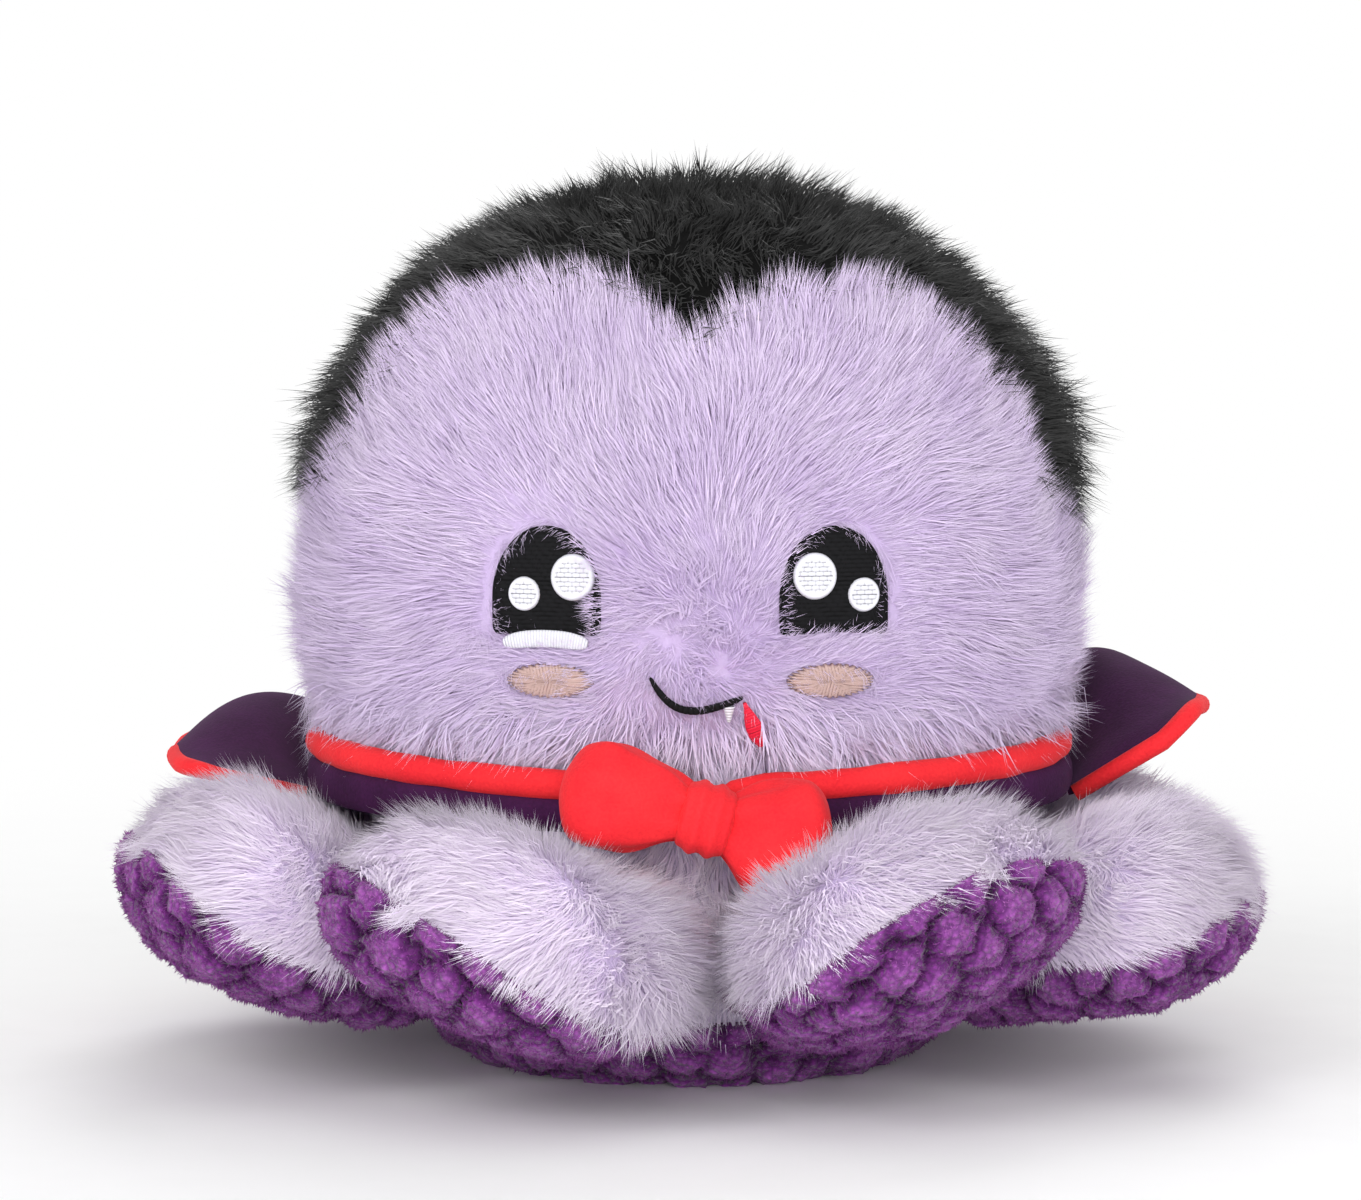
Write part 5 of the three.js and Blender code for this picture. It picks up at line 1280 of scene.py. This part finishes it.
PATCH_OUT = -1.6
THREAD_LIFT, BAND_LIFT = 0.3, 0.25
BAND_SIDES, BAND_POWER = 20, 2.4
BLACK_ROW, BLACK_STITCH, WHITE_ROW, WHITE_DASH, CHEEK_PITCH = 0.9, 2.3, 0.95, 1.6, 0.68
GLINT_LARGE, GLINT_SMALL = 4.8, 3.5
CRESCENT_HALF_WIDTH, CRESCENT_DROP, CRESCENT_BEND = 8.9, 0.9, 1.1
FANG_X, FANG_TOP, FANG_TIP = 8.0, 82.8, 79.4
DROP_X, DROP_Z, DROP_RUN, DROP_FALL = 11.2, 83.6, 3.6, 9.6


def ribs(place, pitch):
    """Round threads side by side: the size of a sine to the power 0.6."""
    return np.abs(np.sin(np.pi * place / pitch)) ** 0.6


def stitched_disc(name, node, material, centre, outline, threads, rows, columns, out=PATCH_OUT, rim=0.0):
    """A stitched patch on the head: points from its middle to its outline, raised by a rounded edge and threads.

    threads is a function of the place in millimetres that runs from 0 in a gap to 1 on a thread.
    """
    share = np.concatenate([np.linspace(0.02, 1, rows), [1.0]])[:, None]
    x, z = (share * edge for edge in outline(around(columns)))
    height = threads(x, z)
    dome = np.sqrt(np.maximum(0, 1 - share ** 6))
    raised = out + dome * (0.25 + THREAD_LIFT * height) - (1 - dome) * 0.4 + rim * bell(share, 0.88, 0.1)
    raised[-1] = out - 1.2
    mesh = skin_mesh(name, head_front(centre[0] + x, centre[1] + z, raised))
    # The thread colour darkens towards the rounded edge of the patch: painted shade.
    values = (height * (0.35 + 0.65 * dome)).ravel()
    set_values(mesh, "thread_lift", np.concatenate([values, [height[0, 0], 0.5]]))
    add_piece(mesh, material, node)


def stitched_band(name, node, material, path, half, pitch, out):
    """A stitched band on the head: a flat section with a rounded top carried along a line of the front view."""
    way = unit(np.gradient(path, axis=0))
    across = vector(-way[:, 1], way[:, 0])
    walked = np.concatenate([[0], np.cumsum(np.linalg.norm(np.diff(path, axis=0), axis=1))])
    c, s = super_point(around(BAND_SIDES), BAND_POWER)
    thread = ribs(walked, pitch)
    wide = half * (0.94 + 0.06 * thread)
    place = path[:, None] + across[:, None] * (c * wide[:, None])[..., None]
    raised = out + s * ((0.45 + BAND_LIFT * thread) * np.minimum(1, wide / 0.5))[:, None]
    mesh = skin_mesh(name, head_front(place[..., 0], place[..., 1], raised))
    set_values(mesh, "thread_lift", np.concatenate([np.repeat(thread, BAND_SIDES), [0.5, 0.5]]))
    add_piece(mesh, material, node)


def eye_edge(turn):
    """From the patch's middle: straight sides and a flat foot low down, and half an ellipse over them."""
    c, s = np.cos(turn), np.sin(turn)
    low = -EYE_HALF_HEIGHT + EYE_DOME_SHARE * 2 * EYE_HALF_HEIGHT
    tall = EYE_HALF_HEIGHT - low
    a = (c / EYE_HALF_WIDTH) ** 2 + (s / tall) ** 2
    b = -2 * s * low / tall ** 2
    dome = (-b + np.sqrt(b ** 2 - 4 * a * ((low / tall) ** 2 - 1))) / (2 * a)
    box = 1 / (np.abs(c / EYE_HALF_WIDTH) ** 14 + np.abs(s / EYE_HALF_HEIGHT) ** 14) ** (1 / 14)
    reach = np.where(s * dome > low, dome, box)
    arch = np.cos(np.clip(c * reach / EYE_HALF_WIDTH, -1, 1) * np.pi / 2)
    return c * reach, s * reach + 0.9 * np.where(s * reach < -0.8 * EYE_HALF_HEIGHT, arch, 0)


def cheek_edge(turn):
    """An ellipse whose edge is notched by the ends of its stitches."""
    notch = 1 + 0.05 * np.sign(np.sin(turn * 34))
    return CHEEK_HALF_WIDTH * np.cos(turn) * notch, CHEEK_HALF_HEIGHT * np.sin(turn) * notch


def black_stitches(x, z):
    """Rows of short level stitches, each row shifted, with thin gaps between rows and between stitches."""
    shift = 0.37 * np.floor(z / BLACK_ROW) * BLACK_STITCH
    return ribs(z, BLACK_ROW) * (0.45 + 0.55 * ribs(x + shift, BLACK_STITCH)) * (0.85 + 0.15 * ribs(z, 0.3))


def white_stitches(x, z):
    """Level stitches with dark dashes between the rows, shifted from row to row."""
    shift = 0.8 * (np.floor(z / WHITE_ROW) % 2)
    dash = np.clip(1.6 * np.abs(np.sin(np.pi * (x + shift) / WHITE_DASH)) - 0.2, 0, 1)
    return np.clip(ribs(z, WHITE_ROW) * 1.25, 0, 1) * (0.55 + 0.45 * dash)


def cheek_stitches(x, z):
    """Upright stitches, bent a little at the middle."""
    return ribs(x + 0.25 * np.abs(z), CHEEK_PITCH)


def glint(label, side, place, size, radius):
    """A white disc in an eye: stitches round its rim, and level ones inside."""
    def edge(turn):
        return radius * 0.96 * np.cos(turn), radius * 1.03 * np.sin(turn)

    def threads(x, z):
        ring = 0.75 + 0.25 * ribs(np.arctan2(z, x) * radius, 0.5)
        return np.where(np.hypot(x, z) > radius * 0.74, ring, white_stitches(x, z))

    centre = (side * EYE_X + place[0] * EYE_HALF_WIDTH, EYE_Z + place[1] * EYE_HALF_HEIGHT)
    stitched_disc(f"glint_{label}_{size}", f"eye_glint_{label}_{size}", WHITE_THREAD, centre, edge, threads,
                  26, 110, -1.05, 0.25)


for label, side in SIDES:
    stitched_disc(f"eye_patch_{label}", f"eye_{label}", BLACK_THREAD, (side * EYE_X, EYE_Z), eye_edge,
                  black_stitches, 34, 150)
    stitched_disc(f"cheek_patch_{label}", f"cheek_{label}", PEACH_THREAD, (side * CHEEK_X, CHEEK_Z), cheek_edge,
                  cheek_stitches, 14, 200, -1.5)
glint("left", -1, (0.5, 0.08), "large", GLINT_LARGE)
glint("left", -1, (-0.38, -0.23), "small", GLINT_SMALL)
glint("right", 1, (-0.37, 0.1), "large", GLINT_LARGE)
glint("right", 1, (0.52, -0.25), "small", GLINT_SMALL)

band_share = np.linspace(-1, 1, 120)
taper = np.sqrt(np.maximum(0, 1 - np.abs(band_share) ** 4))
stitched_band("mouth_stitch", "mouth_line", BLACK_THREAD, vector(*mouth_line(band_share)), 0.2 + 0.6 * taper,
              1.1, -0.4)
for label, side in SIDES:
    crescent = vector(side * EYE_X + band_share * CRESCENT_HALF_WIDTH,
                      EYE_FOOT - CRESCENT_DROP - CRESCENT_BEND * (band_share ** 2 - 0.5))
    stitched_band(f"crescent_{label}", f"eye_crescent_{label}", WHITE_THREAD, crescent, 0.5 + 1.35 * taper, 0.6,
                  -1.5 if side < 0 else -4.2)
stitched_band("fang_stitch", "fang", WHITE_THREAD, vector(FANG_X, np.linspace(FANG_TOP, FANG_TIP, 40)),
              np.linspace(1.3, 0.35, 40), 0.6, -0.6)
drop_share = np.linspace(0, 1, 60)
drop_line = vector(DROP_X + DROP_RUN * drop_share, DROP_Z - DROP_FALL * drop_share)
stitched_band("drop_stitch", "mouth_drop", RED_THREAD, drop_line,
              0.35 + 1.5 * np.sin(np.pi * drop_share ** 1.5) ** 0.8, 0.6, -0.4)


# Stuffing, out of sight

HEAD_WALL, BODY_WALL, ARM_WALL = 7.5, 6.0, 6.0


def stuffing(name, node, rings, salt):
    """Loose fibre in its cloth: rings pushed in and out along their own radius by slow and quick waves."""
    middle = rings.mean(1, keepdims=True)
    flat = rings.reshape(-1, 3)
    push = 1 - 0.02 * (1 + 0.6 * waves(flat, 30, salt) + 0.4 * waves(flat, 12, salt + 1)).reshape(rings.shape[:2])
    add_piece(skin_mesh(name, middle + (rings - middle) * push[..., None]), FIBRE, node)


head_rings = on_grid(head_surface(-HEAD_WALL), around(48), np.linspace(0.06, 0.99, 30)).transpose(1, 0, 2)
stuffing("head_stuffing", "head_fill", head_rings, 501)
fill_heights = np.linspace(5.0, BODY_HEIGHT - 5, 20)
body_fill_rings = body_rings(body_radius(fill_heights) - BODY_WALL, fill_heights, around(48))
stuffing("body_stuffing", "body_fill", body_fill_rings, 503)
for arm_index, arm in enumerate(ARMS):
    arm_surface = arm_shape(arm_index)
    arm_rings = on_grid(lambda u, v: arm_surface(u, v, -ARM_WALL), np.linspace(0.05, 0.95, 24), around(28))
    stuffing(f"arm_{arm[0]}_stuffing", f"arm_{arm[0]}_fill", arm_rings, 505 + arm_index)


# Solids that stay: the squeaker's plastic

for node_name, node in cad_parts.items():
    if node_name.startswith("squeaker"):
        node.data.materials.clear()
        node.data.materials.append(SQUEAKER)


# Floor, light and world

FLOOR_REACH = 3000
FLOOR_FADE = (0.22, 0.6)
FILL_STRENGTH = 0.6


def seen_ray(tree, *kinds):
    """One for a ray of any of these kinds."""
    rays = add_node(tree, "LightPath").outputs
    seen = rays[kinds[0]]
    for kind in kinds[1:]:
        seen = add_node(tree, "Math", {0: seen, 1: rays[kind]}, operation="MAXIMUM").outputs[0]
    return seen


def floor_paper():
    """Pale paper, which far from the object turns plain white for a ray of the camera or of a gloss."""
    material, tree, shader = new_material("floor_paper", 0.9, 0.1)
    grain = grain_of(tree, 4, 60, 0.3)["Tone"]
    feed(tree, shader, {"Base Color": colour_ramp(tree, grain, (0.3, "#F6F6F6"), (0.7, "#FBFBFB"))})
    place = add_node(tree, "TexCoord").outputs["Object"]
    far = add_node(tree, "VectorMath", {0: place}, operation="LENGTH").outputs["Value"]
    fade = add_node(tree, "MapRange", {"Value": far, "From Min": FLOOR_FADE[0], "From Max": FLOOR_FADE[1]},
                    interpolation_type="SMOOTHSTEP").outputs[0]
    seen = seen_ray(tree, "Is Camera Ray", "Is Glossy Ray")
    share = add_node(tree, "Math", {0: seen, 1: fade}, operation="MULTIPLY").outputs[0]
    white = add_node(tree, "Emission").outputs[0]
    paper = add_node(tree, "MixShader", {"Fac": share, 1: shader.outputs[0], 2: white}).outputs[0]
    feed(tree, tree.nodes["Material Output"], {"Surface": paper})
    return material


def area_light(name, place, target, size, power):
    """A round lamp at a place in metres, turned to face its target."""
    light = bpy.data.lights.new(name, "AREA")
    light.shape, light.size, light.energy = "DISK", size, power
    lamp = bpy.data.objects.new(name, light)
    lamp.location = place
    way = np.array(target) - np.array(place)
    flat = math.hypot(way[0], way[1])
    lamp.rotation_euler = (math.pi / 2 + math.atan2(way[2], flat), 0, math.atan2(-way[0], way[1]))
    bpy.context.scene.collection.objects.link(lamp)


floor_corners = FLOOR_REACH * np.array([[-1, -1, 0], [1, -1, 0], [1, 1, 0], [-1, 1, 0]])
floor = bpy.data.objects.new("floor", make_mesh("floor", floor_corners, [[0, 1, 2, 3]], smooth=False))
floor.data.materials.append(floor_paper())
bpy.context.scene.collection.objects.link(floor)

area_light("key", (-1.2, -1.6, 1.4), (0, 0, 0.1), 1.4, 13)
area_light("fill", (1.3, -1.4, 0.9), (0, 0, 0.1), 1.4, 6)
area_light("front", (-0.1, -2.0, 0.45), (0, 0, 0.08), 1.5, 29)
area_light("rim", (0.3, 1.5, 1.5), (0, 0, 0.1), 1.2, 12)

world = bpy.data.worlds.new("studio")
bpy.context.scene.world = world
world.use_nodes = True
any_view = seen_ray(world.node_tree, "Is Camera Ray", "Is Glossy Ray", "Is Transmission Ray")
strength = add_node(world.node_tree, "MapRange", {"Value": any_view, "To Min": FILL_STRENGTH, "To Max": 1.0})
background = {"Strength": strength.outputs[0], "Color": (1, 1, 1, 1)}
feed(world.node_tree, world.node_tree.nodes["Background"], background)

bpy.context.scene.view_settings.view_transform = "Standard"
